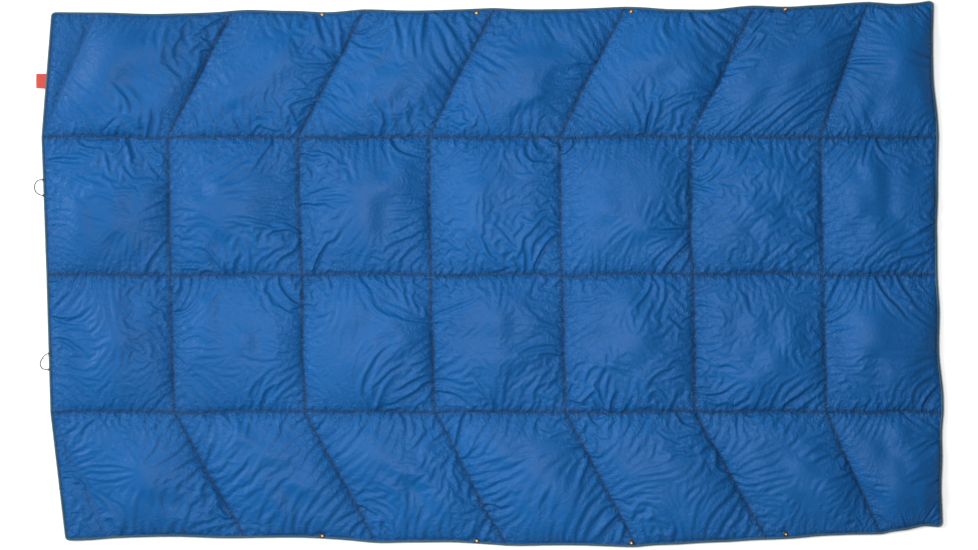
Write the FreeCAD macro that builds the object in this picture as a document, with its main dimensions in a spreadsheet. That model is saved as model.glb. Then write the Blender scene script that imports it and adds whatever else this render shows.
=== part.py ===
"""Camp quilt, lying flat: two fabric panels quilted into thirty filled chambers, hemmed with a
bound edge, with press studs along its long hems, two cord loops and a cloth tab on one end.

X runs along the quilt, Y across it and Z up. The quilt folds in half, face inwards, about its middle
row seam, so every panel, binding and thread is made in a near half (Y below 0) and a far half.
The origin is on the floor, at the centre of the box round everything but the cord loops.
"""

import FreeCAD, Part
import math
import os

import Sketcher

DIMENSIONS = (
    # overall sizes and the seams
    ("quilt_length", 2030, "hem to hem along X, at its longest"),
    ("quilt_width", 1230, "hem to hem along Y, at its widest"),
    ("first_column", 290, "left hem to the first cross seam"),
    ("column_pitch", 294, "one cross seam to the next"),
    ("inner_row", 310, "depth of each of the two middle rows"),
    ("slant_run", 155, "lean along X of an outer row's cross seams"),
    ("last_slant_run", 115, "lean of the last slanted seam"),
    ("corner_run", 140, "left corner to the seam that cuts it off"),
    ("skew", 7, "sideways slip of one row line against the next as the quilt lies"),
    ("seam_land", 6, "flat width along a quilting seam, between two chambers"),
    ("fold_gap", 0.4, "space between the two halves at the fold line"),
    # how far each hem lies inside the overall size, at each seam end
    ("left_in_0", 22, "left hem, far corner"),
    ("left_in_1", 0, "left hem, far row line"),
    ("left_in_2", 11, "left hem, middle row line"),
    ("left_in_3", 20, "left hem, near row line"),
    ("left_in_4", 54, "left hem, near corner"),
    ("right_in_0", 21, "right hem, far corner"),
    ("right_in_1", 12, "right hem, far row line"),
    ("right_in_2", 9, "right hem, middle row line"),
    ("right_in_3", 0, "right hem, near row line"),
    ("right_in_4", 0, "right hem, near corner"),
    ("far_in_0", 24, "far hem, left corner"),
    ("far_in_1", 20, "far hem, corner seam"),
    ("far_in_2", 20, "far hem, first slanted seam"),
    ("far_in_3", 18, "far hem, second slanted seam"),
    ("far_in_4", 15, "far hem, third slanted seam"),
    ("far_in_5", 12, "far hem, fourth slanted seam"),
    ("far_in_6", 8, "far hem, fifth slanted seam"),
    ("far_in_7", 2, "far hem, last slanted seam"),
    ("far_in_8", 0, "far hem, right corner"),
    ("near_in_0", 16, "near hem, left corner"),
    ("near_in_1", 19, "near hem, corner seam"),
    ("near_in_2", 22, "near hem, first slanted seam"),
    ("near_in_3", 12, "near hem, second slanted seam"),
    ("near_in_4", 3, "near hem, third slanted seam"),
    ("near_in_5", 0, "near hem, fourth slanted seam"),
    ("near_in_6", 18, "near hem, fifth slanted seam"),
    ("near_in_7", 30, "near hem, last slanted seam"),
    ("near_in_8", 50, "near hem, right corner"),
    # fabric and chambers
    ("fabric", 0.5, "thickness of one fabric panel"),
    ("seam_height", 6, "height of the seam plane over the floor"),
    ("shoulder_rise", 16, "height of a chamber's shoulder over the seam plane"),
    ("crown_rise", 28, "height of a chamber's crown over the seam plane"),
    ("flank_angle", 50, "degrees from upright, seam to shoulder"),
    ("crown_angle", 72, "degrees from upright, shoulder to crown"),
    ("under_angle", 55, "degrees from upright, seam to floor"),
    ("corner_shoulder_rise", 11, "shoulder of a small corner chamber over the seam plane"),
    ("corner_crown_rise", 15, "crown of a small corner chamber over the seam plane"),
    ("long_hem_band", 0.5, "flat cloth between the press studs' caps and the chambers"),
    ("short_hem_band", 8, "flat width along the short hems"),
    # hem
    ("binding_width", 4, "how far the binding covers the hem"),
    ("binding_ply", 0.6, "thickness of the folded binding tape"),
    ("corner_radius", 10, "radius of the quilt's corners"),
    # thread
    ("thread_width", 0.8, "width of a row of stitches"),
    ("thread_height", 0.4, "height of a row of stitches"),
    ("thread_gap", 0.6, "space left at a thread's ends"),
    # press studs
    ("snap_first", 632, "left end to the first press stud"),
    ("snap_pitch", 348, "one press stud to the next"),
    ("snap_inset", 0.5, "flat cloth between the hem binding and the press studs' caps"),
    ("cap_radius", 6, "cap on the under side"),
    ("cap_height", 1.2, "cap thickness"),
    ("cap_dish", 0.5, "bevel round the cap"),
    ("post_radius", 1.5, "post that goes through the fabric"),
    ("post_grip", 0.5, "how far the post goes into the stud or socket"),
    ("post_gap", 0.05, "clearance round the post"),
    ("flange_radius", 5.2, "foot of the stud"),
    ("flange_height", 0.9, "foot of the stud"),
    ("neck_radius", 1.7, "waist of the stud"),
    ("neck_height", 0.8, "waist of the stud"),
    ("head_radius", 2.1, "head of the stud"),
    ("head_height", 1.2, "head of the stud"),
    ("socket_radius", 5.6, "outside of the socket"),
    ("socket_height", 2.8, "outside of the socket"),
    ("socket_floor", 0.9, "metal under the socket's bore"),
    ("snap_clearance", 0.2, "stud head to socket bore"),
    ("groove_depth", 0.6, "spring groove in the bore's wall"),
    ("groove_height", 0.6, "spring groove in the bore's wall"),
    ("groove_gap", 0.05, "play of the spring in its groove"),
    # cloth tab
    ("tab_y", 436, "middle row line to the tab's centre"),
    ("tab_width", 33, "along the hem"),
    ("tab_overhang", 12, "how far the tab reaches past the quilt's longest point"),
    ("tab_ply", 0.5, "thickness of one layer of the folded tab"),
    ("tab_slot", 0.2, "space between the two layers"),
    ("hinge_gap", 0.6, "space between the hem and what swings on it"),
    # cord loops
    ("loop_offset", 196, "middle row line to a loop's centre"),
    ("loop_span", 36, "between a loop's two ends"),
    ("loop_reach", 21, "hem to the far side of a loop"),
    ("cord_diameter", 2.2, "cord of the loops"),
    ("bartack_length", 5, "bartack over a loop's end"),
)
CROSS_SEAMS = 6
SNAPS = 4
ROUND_LOOP = ((0.0, 0.5, 1.0), (0.40, 0.51, 0.55), (0.80, 0.36, 0.05), (1.0, 0.06, 0.0),
              (0.88, -0.26, 0.0), (0.44, -0.47, 0.45), (0.0, -0.5, 1.0))
DROP_LOOP = ((0.0, 0.5, 1.0), (0.33, 0.45, 0.55), (0.70, 0.22, 0.08), (1.0, -0.08, 0.0),
             (0.90, -0.38, 0.0), (0.45, -0.52, 0.5), (0.0, -0.5, 1.0))


class Size:
    """A number that also knows the expression which works it out from the sheet."""

    def __init__(self, value, text=None):
        self.value = float(value)
        self.text = text or f"({value})"

    def join(self, sign, other, result):
        return Size(result, f"({self.text} {sign} {other.text})")

    def __add__(self, other):
        other = size(other)
        return self.join("+", other, self.value + other.value)

    def __sub__(self, other):
        other = size(other)
        return self.join("-", other, self.value - other.value)

    def __mul__(self, other):
        other = size(other)
        return self.join("*", other, self.value * other.value)

    def __truediv__(self, other):
        other = size(other)
        return self.join("/", other, self.value / other.value)

    def __neg__(self):
        return Size(-self.value, f"(0 - {self.text})")


def size(value):
    return value if isinstance(value, Size) else Size(value)


def root(value):
    return Size(math.sqrt(value.value), f"sqrt({value.text})")


def cosine(angle):
    return Size(math.cos(math.radians(angle.value)), f"cos({angle.text} * 1deg)")


document = FreeCAD.newDocument("camp_quilt")
sheet = document.addObject("Spreadsheet::Sheet", "Dims")
DIM = {}
for line, (alias, number, meaning) in enumerate(DIMENSIONS, start=1):
    sheet.set(f"A{line}", str(number))
    sheet.set(f"B{line}", meaning)
    sheet.setAlias(f"A{line}", alias)
    DIM[alias] = Size(number, f"Dims.{alias}")
document.recompute()

nodes = {}


def bind(thing, prop, value):
    """Ties a property of an object to the sheet."""
    thing.setExpression(prop, value.text)


def origin_plane(body, role):
    return next(f for f in body.Origin.OriginFeatures if f.Role == role)


def draw(body, name, points, role="XY_Plane", height=None):
    """A closed outline through points, each held by its two coordinates."""
    sketch = body.newObject("Sketcher::SketchObject", name)
    sketch.AttachmentSupport = (origin_plane(body, role), "")
    sketch.MapMode = "FlatFace"
    if height is not None:
        bind(sketch, "AttachmentOffset.Base.z", height)
    count = len(points)
    flat = [FreeCAD.Vector(x.value, y.value, 0) for x, y in points]
    for i in range(count):
        sketch.addGeometry(Part.LineSegment(flat[i], flat[(i + 1) % count]), False)
    for i in range(count):
        sketch.addConstraint(Sketcher.Constraint("Coincident", i, 2, (i + 1) % count, 1))
    for i, (x, y) in enumerate(points):
        for kind, along in (("DistanceX", x), ("DistanceY", y)):
            at = sketch.addConstraint(Sketcher.Constraint(kind, -1, 1, i, 1, along.value))
            if "Dims" in along.text or "Layout" in along.text:
                sketch.setExpression(f"Constraints[{at}]", along.text)
    return sketch


# ---- the seam layout: one sketch holds every point where seams and hems meet ----

SHIFT = DIM["tab_overhang"] / 2
HALF_LENGTH = DIM["quilt_length"] / 2
HALF_WIDTH = DIM["quilt_width"] / 2
ROW_Y = {1: DIM["inner_row"], 2: size(0), 3: -DIM["inner_row"]}
OUTER = {"far": (0, 1), "near": (4, 3)}


def slipped(x, row_y):
    """x with the quilt's skew and the move that centres its box."""
    return x - DIM["skew"] * row_y / DIM["inner_row"] + SHIFT


def foot_x(seam):
    return DIM["first_column"] + DIM["column_pitch"] * seam - HALF_LENGTH


def layout_points():
    """Every meeting point by name: L and R are the left and right hems, F, N the long hems."""
    points = {}
    for row in (1, 2, 3):
        y = ROW_Y[row]
        points[f"L{row}"] = (DIM[f"left_in_{row}"] - HALF_LENGTH + SHIFT, y)
        points[f"R{row}"] = (HALF_LENGTH - DIM[f"right_in_{row}"] + SHIFT, y)
        for seam in range(CROSS_SEAMS):
            points[f"S{row}_{seam}"] = (slipped(foot_x(seam), y), y)
    for half, row, sign in (("far", 0, 1), ("near", 4, -1)):
        line_y = HALF_WIDTH * sign
        lean_y = DIM["inner_row"] * (2 * sign)
        last = CROSS_SEAMS + 2
        hem = [DIM[f"{half}_in_{i}"] * -sign + line_y for i in range(last + 1)]
        points[f"L{row}"] = (DIM[f"left_in_{row}"] - HALF_LENGTH + SHIFT, hem[0])
        points[f"R{row}"] = (HALF_LENGTH - DIM[f"right_in_{row}"] + SHIFT, hem[last])
        points[f"C{row}"] = (slipped(DIM["corner_run"] - HALF_LENGTH, lean_y), hem[1])
        for seam in range(CROSS_SEAMS):
            run = DIM["last_slant_run" if seam == CROSS_SEAMS - 1 else "slant_run"]
            points[f"S{row}_{seam}"] = (slipped(foot_x(seam) + run, lean_y), hem[seam + 2])
    return points


def make_layout():
    layout = document.addObject("Sketcher::SketchObject", "Layout")
    for index, (name, (x, y)) in enumerate(layout_points().items()):
        layout.addGeometry(Part.Point(FreeCAD.Vector(x.value, y.value, 0)), True)
        for kind, axis, along in (("DistanceX", "x", x), ("DistanceY", "y", y)):
            at = layout.addConstraint(Sketcher.Constraint(kind, -1, 1, index, 1, along.value))
            layout.renameConstraint(at, f"{name}{axis}")
            layout.setExpression(f"Constraints.{name}{axis}", along.text)
    document.recompute()
    return {
        name: (
            Size(x.value, f"(Layout.Constraints.{name}x / 1mm)"),
            Size(y.value, f"(Layout.Constraints.{name}y / 1mm)"),
        )
        for name, (x, y) in layout_points().items()
    }


AT = make_layout()


def unit(a, b):
    """Unit vector from a to b, and its length."""
    dx, dy = b[0] - a[0], b[1] - a[1]
    length = root(dx * dx + dy * dy)
    return (dx / length, dy / length), length


def moved_corner(a, b, c, first, second):
    """Corner b of an anticlockwise outline, when side a-b moves in by first and b-c by second."""
    (ux, uy), _ = unit(a, b)
    (vx, vy), _ = unit(b, c)
    if first is second:
        share = first / (ux * vx + uy * vy + 1)
        return b[0] - (uy + vy) * share, b[1] + (ux + vx) * share
    cross = ux * vy - uy * vx
    return (
        b[0] + (vx * first - ux * second) / cross,
        b[1] + (vy * first - uy * second) / cross,
    )


def inset(corners, distances):
    """The outline with side i, from corner i to the next, moved in by distances[i]."""
    count = len(corners)
    return [
        moved_corner(corners[i - 1], corners[i], corners[(i + 1) % count],
                     distances[i - 1], distances[i])
        for i in range(count)
    ]


# ---- chambers ----


def snap_line():
    """How far in from a long hem the press studs' centres are."""
    return DIM["binding_width"] + DIM["snap_inset"] + DIM["cap_radius"]


def chambers(half):
    """Names, corners (anticlockwise) and hem bands of a half's chambers, in order along X."""
    hem_row, row = OUTER[half]
    land = DIM["seam_land"] / 2
    long_band = snap_line() + DIM["cap_radius"] + DIM["long_hem_band"]
    short_band = DIM["short_hem_band"]
    feet = [f"L{row}"] + [f"S{row}_{k}" for k in range(CROSS_SEAMS)] + [f"R{row}"]
    middle = ["L2"] + [f"S2_{k}" for k in range(CROSS_SEAMS)] + ["R2"]
    tips = [f"C{hem_row}"] + [f"S{hem_row}_{k}" for k in range(CROSS_SEAMS)] + [f"R{hem_row}"]
    found = []
    corner = [f"L{row}", f"C{hem_row}", f"L{hem_row}"]
    found.append(("outer_1", corner, [land, long_band, short_band]))
    for k in range(CROSS_SEAMS + 1):
        right = short_band if k == CROSS_SEAMS else land
        outer = [feet[k], feet[k + 1], tips[k + 1], tips[k]]
        found.append((f"outer_{k + 2}", outer, [land, right, long_band, land]))
        left = short_band if k == 0 else land
        inner = [middle[k], middle[k + 1], feet[k + 1], feet[k]]
        found.append((f"inner_{k + 1}", inner, [land, right, land, left]))
    if half == "far":
        return found
    return [(name, names[::-1], turned(bands)) for name, names, bands in found]


def turned(bands):
    """The bands of an outline whose corners are listed the other way round."""
    return bands[-2::-1] + bands[-1:]


def pillow(name, corners, bands, grow, corner_cell):
    """A chamber's closed solid: flank and crown above the seam plane, a flat-bottomed bowl below.

    grow is how far it stands outside the filling, so that grow = fabric gives the skin's outside.
    """
    shoulder = DIM["corner_shoulder_rise" if corner_cell else "shoulder_rise"]
    crown = DIM["corner_crown_rise" if corner_cell else "crown_rise"]
    out = grow / cosine(DIM["flank_angle"])
    body = document.addObject("PartDesign::Body", name)
    outline = inset([AT[c] for c in corners], [band - out for band in bands])
    sketch = draw(body, f"{name}_outline", outline, height=DIM["seam_height"])
    flank = body.newObject("PartDesign::Pad", f"{name}_flank")
    flank.Profile = sketch
    flank.SideType = "Two sides"
    bind(flank, "Length", shoulder + grow)
    bind(flank, "Length2", DIM["seam_height"] - DIM["fabric"] + grow)
    bind(flank, "TaperAngle", -DIM["flank_angle"])
    bind(flank, "TaperAngle2", -DIM["under_angle"])
    document.recompute()
    faces = flank.Shape.Faces
    highest = max(range(len(faces)), key=lambda i: faces[i].CenterOfMass.z)
    top = body.newObject("PartDesign::Pad", f"{name}_crown")
    top.Profile = (flank, [f"Face{highest + 1}"])
    bind(top, "Length", crown - shoulder)
    bind(top, "TaperAngle", -DIM["crown_angle"])
    document.recompute()
    return body


# ---- fabric panels and hem ----


def hem_line(half):
    """The half's edge from the fold line round to the fold line, anticlockwise for the far half."""
    hem_row, row = OUTER[half]
    tips = [f"S{hem_row}_{k}" for k in reversed(range(CROSS_SEAMS))]
    names = [f"R{row}", f"R{hem_row}", *tips, f"C{hem_row}", f"L{hem_row}", f"L{row}"]
    side = 1 if half == "far" else -1
    edge_y = DIM["fold_gap"] * (0.5 * side)
    ends = [on_hem(AT["R2"], AT[f"R{row}"], edge_y), on_hem(AT["L2"], AT[f"L{row}"], edge_y)]
    return [ends[0], *[AT[n] for n in names], ends[1]]


def on_hem(a, b, y):
    """The point at height y on the line from a to b."""
    return (a[0] + (b[0] - a[0]) * (y - a[1]) / (b[1] - a[1]), y)


def on_long_hem(half, x):
    """The point at x on a long hem, between the two seam ends that it lies between."""
    line = hem_line(half)[2:-2]
    right = min(i for i in range(len(line)) if line[i][0].value < x.value)
    a, b = line[right], line[right - 1]
    return (x, a[1] + (b[1] - a[1]) * (x - a[0]) / (b[0] - a[0]))


def moved_hem(half, distance):
    """The hem line moved in by distance, its two ends kept on the fold line."""
    line = hem_line(half)
    side = 1 if half == "far" else -1
    if side < 0:
        line = line[::-1]
    kept = size(0)
    bands = [distance] * (len(line) - 1) + [kept]
    return inset(line, bands)


def round_corners(body, base, half, extra):
    """Rounds a body's upright edges at the quilt's two corners; extra is its distance outside the hem."""
    hem_row = OUTER[half][0]
    found = []
    for i, edge in enumerate(base.Shape.Edges, start=1):
        a, b = (v.Point for v in edge.Vertexes) if len(edge.Vertexes) == 2 else (None, None)
        if a is None or math.hypot(a.x - b.x, a.y - b.y) > 0.01:
            continue
        for end in (f"L{hem_row}", f"R{hem_row}"):
            x, y = (c.value for c in AT[end])
            inside = math.hypot(a.x, a.y) < math.hypot(x, y) - 1
            if math.hypot(a.x - x, a.y - y) < 3 * DIM["binding_width"].value:
                found.append((f"Edge{i}", inside))
    last = base
    outer = [name for name, inside in found if not inside]
    fillet = body.newObject("PartDesign::Fillet", f"{body.Name}_corners")
    fillet.Base = (last, outer)
    bind(fillet, "Radius", DIM["corner_radius"] + extra)
    document.recompute()
    return fillet


def plate(half):
    """Both fabric panels laid flat together at the seam plane, out to the hem."""
    name = f"plate_{half}"
    body = document.addObject("PartDesign::Body", name)
    sketch = draw(body, f"{name}_outline", moved_hem(half, size(0)), height=DIM["seam_height"])
    pad = body.newObject("PartDesign::Pad", f"{name}_pad")
    pad.Profile = sketch
    pad.SideType = "Symmetric"
    bind(pad, "Length", DIM["fabric"] * 2)
    document.recompute()
    round_corners(body, pad, half, size(0))
    return body


def binding_strip(half):
    """The folded tape round the hem, still solid where the panels go into it."""
    name = f"binding_{half}"
    body = document.addObject("PartDesign::Body", name)
    outside = moved_hem(half, -DIM["binding_ply"])
    sketch = draw(body, f"{name}_outline", outside, height=DIM["seam_height"])
    pad = body.newObject("PartDesign::Pad", f"{name}_pad")
    pad.Profile = sketch
    pad.SideType = "Symmetric"
    bind(pad, "Length", (DIM["fabric"] + DIM["binding_ply"]) * 2)
    document.recompute()
    rounded = round_corners(body, pad, half, DIM["binding_ply"])
    inner = draw(body, f"{name}_window", moved_window(half), height=DIM["seam_height"])
    window = body.newObject("PartDesign::Pocket", f"{name}_pocket")
    window.Profile = inner
    window.Type = "ThroughAll"
    window.SideType = "Symmetric"
    document.recompute()
    if window.Shape.Volume > 0.5 * rounded.Shape.Volume:
        raise ValueError(f"{name}: the window cut nothing")
    return body


def moved_window(half):
    """The hem line moved in by the binding's width, and its ends run out past the fold line."""
    line = moved_hem(half, DIM["binding_width"])
    side = 1 if half == "far" else -1
    past = DIM["binding_width"] * side
    return [(line[0][0], line[0][1] - past), *line[1:-1], (line[-1][0], line[-1][1] - past)]


def combine(kind, name, **links):
    """A Part boolean of other objects."""
    made = document.addObject(f"Part::{kind}", name)
    for prop, value in links.items():
        setattr(made, prop, value)
    document.recompute()
    return made


def slab(name, low, height):
    """A box over the whole quilt, from low up."""
    reach = DIM["quilt_length"] + DIM["quilt_width"]
    box = document.addObject("Part::Box", name)
    for prop, value in (("Length", reach), ("Width", reach), ("Height", height),
                        ("Placement.Base.x", -reach / 2), ("Placement.Base.y", -reach / 2),
                        ("Placement.Base.z", low)):
        bind(box, prop, value)
    return box


def make_half(half):
    """The filling, face fabric, lining fabric and binding of one half."""
    fills, skins = [], []
    for name, corners, bands in chambers(half):
        is_corner = len(corners) == 3
        fill = pillow(f"fill_{half}_{name}", corners, bands, size(0), is_corner)
        nodes[f"fill_{half}_{name}"] = fill
        fills.append(fill)
        skins.append(pillow(f"skin_{half}_{name}", corners, bands, DIM["fabric"], is_corner))
    flat = plate(half)
    holes = [snap_hole(half, i) for i in range(SNAPS)]
    envelope = combine("MultiFuse", f"envelope_{half}", Shapes=[flat, *skins])
    inside = combine("Compound", f"inside_{half}", Links=[*fills, *holes])
    skin = combine("Cut", f"skin_{half}", Base=envelope, Tool=inside)
    reach = DIM["crown_rise"] * 2
    above = slab(f"above_{half}", DIM["seam_height"], reach)
    below = slab(f"below_{half}", DIM["seam_height"] - reach, reach)
    nodes[f"face_fabric_{half}"] = combine("Common", f"face_{half}", Base=skin, Tool=above)
    nodes[f"lining_fabric_{half}"] = combine("Common", f"lining_{half}", Base=skin, Tool=below)
    strip = binding_strip(half)
    nodes[f"hem_binding_{half}"] = combine("Cut", f"hem_{half}", Base=strip, Tool=flat)


# ---- thread ----


def thread_box(name, a, b, start, end, surface, side=0):
    """A row of stitches from a to b, on top of surface, or under it if its height is negative."""
    (ux, uy), length = unit(a, b)
    over = DIM["thread_width"] / 2 - DIM["thread_width"] * side
    box = document.addObject("Part::Box", name)
    angle = math.degrees(math.atan2(uy.value, ux.value))
    box.Placement = FreeCAD.Placement(FreeCAD.Vector(), FreeCAD.Rotation(FreeCAD.Vector(0, 0, 1), angle))
    for prop, value in (("Length", length - start - end), ("Width", DIM["thread_width"]),
                        ("Height", DIM["thread_height"]),
                        ("Placement.Base.x", a[0] + ux * start + uy * over),
                        ("Placement.Base.y", a[1] + uy * start - ux * over),
                        ("Placement.Base.z", surface)):
        bind(box, prop, value)
    return box


def stitch_surfaces(cover):
    """Where needle thread and bobbin thread lie: on top of the face, and under the lining."""
    reach = DIM["fabric"] + cover
    return (
        ("top", DIM["seam_height"] + reach),
        ("under", DIM["seam_height"] - reach - DIM["thread_height"]),
    )


def stitch(node, lines, cover):
    """One node of thread: each line is a, b and the setbacks at its two ends."""
    boxes = []
    for where, surface in stitch_surfaces(cover):
        for i, (a, b, start, end) in enumerate(lines):
            boxes.append(thread_box(f"{node}_{where}_{i}", a, b, start, end, surface))
    nodes[node] = combine("Compound", node, Links=boxes)


def clear_of_hem(foot, tip, hem_end, clearance):
    """How far along a seam, from its foot on a hem, its distance from that hem is the clearance."""
    (ux, uy), _ = unit(foot, tip)
    (vx, vy), _ = unit(foot, hem_end)
    return clearance / (ux * vy - uy * vx)


def make_threads(half):
    hem_row, row = OUTER[half]
    side = 1 if half == "far" else -1
    gap, half_thread = DIM["thread_gap"], DIM["thread_width"] / 2
    at_hem = DIM["binding_width"] + gap
    at_row = half_thread + gap
    at_fold = at_row if half == "far" else fold_thread_inset() + at_row
    none = size(0)
    stitch(f"row_seam_thread_{half}", [(AT[f"L{row}"], AT[f"R{row}"], at_hem, at_hem)], none)
    cross = []
    for k in range(CROSS_SEAMS):
        cross.append((AT[f"S2_{k}"], AT[f"S{row}_{k}"], at_fold, at_row))
        cross.append((AT[f"S{row}_{k}"], AT[f"S{hem_row}_{k}"], at_row * 1.5, at_hem * 1.5))
    foot, tip = AT[f"L{row}"], AT[f"C{hem_row}"]
    at_foot = clear_of_hem(foot, tip, AT[f"L{hem_row}"], at_hem * 1.5 * side)
    corner = (foot, tip, at_foot, at_hem * 1.5)
    stitch(f"cross_seam_thread_{half}", [*cross, corner], none)
    line = moved_hem(half, DIM["binding_width"] / 2)
    short = DIM["corner_radius"]
    lines = [(a, b, gap, gap) for a, b in zip(line[:-1], line[1:])]
    corners = (1, 2) if side > 0 else (1, 2)
    tidy = []
    for i, (a, b, start, end) in enumerate(lines):
        start = short if i in (corners[1], len(lines) - corners[0] - 0) else start
        end = short if i in (corners[0], len(lines) - corners[1] - 1) else end
        tidy.append((a, b, start, end))
    stitch(f"binding_thread_{half}", tidy, DIM["binding_ply"])


def fold_thread_inset():
    """How far inside the near half the middle row's stitches run."""
    return DIM["fold_gap"] / 2 + DIM["thread_width"]


# ---- press studs ----


def snap_place(half, index):
    """Centre of a press stud, in from the long hem."""
    side = 1 if half == "far" else -1
    x = DIM["snap_first"] + DIM["snap_pitch"] * index - HALF_LENGTH + SHIFT
    hem = on_long_hem(half, x)
    return (x, hem[1] - snap_line() * side)


def put(thing, place, height):
    x, y = place
    for axis, value in (("x", x), ("y", y), ("z", height)):
        bind(thing, f"Placement.Base.{axis}", value)


def snap_hole(half, index):
    hole = document.addObject("Part::Cylinder", f"snap_hole_{half}_{index}")
    bind(hole, "Radius", DIM["post_radius"] + DIM["post_gap"])
    bind(hole, "Height", DIM["fabric"] * 4)
    put(hole, snap_place(half, index), DIM["seam_height"] - DIM["fabric"] * 2)
    return hole


def turned_body(name, profile, place, height):
    """A turned piece: profile holds radius and height pairs, anticlockwise from the axis."""
    body = document.addObject("PartDesign::Body", name)
    sketch = draw(body, f"{name}_profile", profile, role="XZ_Plane")
    turn = body.newObject("PartDesign::Revolution", f"{name}_turn")
    turn.Profile = sketch
    turn.ReferenceAxis = (sketch, ["V_Axis"])
    turn.Angle = 360
    put(body, place, height)
    document.recompute()
    return body


def cap_profile():
    """Cap with its post, from the top of the cap's own fabric face: the post rises from it."""
    zero, dish = size(0), DIM["cap_dish"]
    radius, low = DIM["cap_radius"], -DIM["cap_height"]
    top = DIM["fabric"] * 2 + DIM["post_grip"]
    return [(zero, low), (radius - dish * 2, low), (radius, low + dish), (radius, zero),
            (DIM["post_radius"], zero), (DIM["post_radius"], top), (zero, top)]


def recess():
    """Radius and depth of the hole that takes the post's end."""
    return DIM["post_radius"] + DIM["post_gap"], DIM["post_grip"] + DIM["post_gap"]


def stud_profile():
    zero = size(0)
    hole, deep = recess()
    neck = DIM["flange_height"] + DIM["neck_height"]
    top = neck + DIM["head_height"]
    return [(zero, deep), (hole, deep), (hole, zero), (DIM["flange_radius"], zero),
            (DIM["flange_radius"], DIM["flange_height"]), (DIM["neck_radius"], DIM["flange_height"]),
            (DIM["neck_radius"], neck), (DIM["head_radius"], neck), (DIM["head_radius"], top),
            (zero, top)]


def socket_profile():
    zero = size(0)
    hole, deep = recess()
    bore = DIM["head_radius"] + DIM["snap_clearance"]
    groove = bore + DIM["groove_depth"]
    low = DIM["socket_floor"] + DIM["groove_height"]
    high = low + DIM["groove_height"]
    top = DIM["socket_height"]
    return [(zero, deep), (hole, deep), (hole, zero), (DIM["socket_radius"], zero),
            (DIM["socket_radius"], top), (bore, top), (bore, high), (groove, high),
            (groove, low), (bore, low), (bore, DIM["socket_floor"]), (zero, DIM["socket_floor"])]


def make_spring(name, place, height):
    """The ring that grips the stud, sitting in the socket's groove."""
    ring = document.addObject("Part::Torus", name)
    wire = DIM["groove_height"] / 2 - DIM["groove_gap"]
    bind(ring, "Radius1", DIM["head_radius"] + DIM["snap_clearance"] + DIM["groove_depth"] / 2)
    bind(ring, "Radius2", wire)
    middle = DIM["socket_floor"] + DIM["groove_height"] * 1.5
    put(ring, place, height + middle)
    return ring


def make_snaps():
    top = DIM["seam_height"] + DIM["fabric"]
    under = DIM["seam_height"] - DIM["fabric"]
    for half, kind, profile in (("far", "stud", stud_profile()), ("near", "socket", socket_profile())):
        caps, parts, springs = [], [], []
        for i in range(SNAPS):
            place = snap_place(half, i)
            print(f"snap {half} {i}: x {place[0].value:.3f}, y {place[1].value:.3f}")
            caps.append(turned_body(f"snap_cap_{half}_{i}", cap_profile(), place, under))
            parts.append(turned_body(f"snap_{kind}_{i}", profile, place, top))
            if kind == "socket":
                springs.append(make_spring(f"snap_spring_{i}", place, top))
        nodes[f"snap_caps_{half}"] = combine("Compound", f"snap_caps_{half}", Links=caps)
        nodes[f"snap_{kind}s_{half}"] = combine("Compound", f"snap_{kind}s_{half}", Links=parts)
        if springs:
            nodes["snap_springs_near"] = combine("Compound", "snap_springs_near", Links=springs)


# ---- tab and loops on the left hem ----


def left_hem(y):
    """The point at y on the left hem."""
    rows = (0, 1, 2, 3, 4)
    above = max(r for r in rows[:-1] if AT[f"L{r}"][1].value >= y.value)
    return on_hem(AT[f"L{above}"], AT[f"L{above + 1}"], y)


def hinge_x(point):
    """X of what hangs on the hem, just outside the binding."""
    return point[0] - DIM["binding_ply"] - DIM["hinge_gap"]


def make_tab():
    """A folded cloth tab, its two layers meeting at the tip."""
    half_width = DIM["tab_width"] / 2
    body = document.addObject("PartDesign::Body", "tab")
    ends = [left_hem(DIM["tab_y"] - half_width), left_hem(DIM["tab_y"] + half_width)]
    start = hinge_x(min(ends, key=lambda p: p[0].value))
    tip = -HALF_LENGTH - DIM["tab_overhang"] - DIM["binding_ply"] + SHIFT
    slot, ply = DIM["tab_slot"] / 2, DIM["tab_ply"]
    high, low = DIM["seam_height"] + slot + ply, DIM["seam_height"] - slot - ply
    inner = tip + ply
    profile = [(tip, low), (start, low), (start, low + ply), (inner, low + ply),
               (inner, high - ply), (start, high - ply), (start, high), (tip, high)]
    sketch = draw(body, "tab_profile", profile, role="XZ_Plane")
    pad = body.newObject("PartDesign::Pad", "tab_pad")
    pad.Profile = sketch
    pad.SideType = "Symmetric"
    bind(pad, "Length", DIM["tab_width"])
    bind(body, "Placement.Base.y", DIM["tab_y"])
    nodes["cloth_tab"] = body
    print(f"cloth tab ends at x {start.value:.3f}")
    a, b = (left_hem(DIM["tab_y"] + half_width * s) for s in (1, -1))
    inward = DIM["binding_width"] * 0.75
    stitch("tab_stitches", [((a[0] + inward, a[1]), (b[0] + inward, b[1]), size(0), size(0))],
           DIM["binding_ply"])


def loop_route(centre_y, shape):
    """Points of a loop's centre line: shape gives reach out, place along the hem, and height."""
    span, reach = DIM["loop_span"], DIM["loop_reach"]
    floor = DIM["cord_diameter"] / 2 + 0.1
    points = []
    for out, along, lift in shape:
        x, y = left_hem(centre_y + span * along)
        z = floor + (DIM["seam_height"] - floor) * lift
        points.append(FreeCAD.Vector((hinge_x((x, y)) - reach * out).value, y.value, z.value))
    return points


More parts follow.
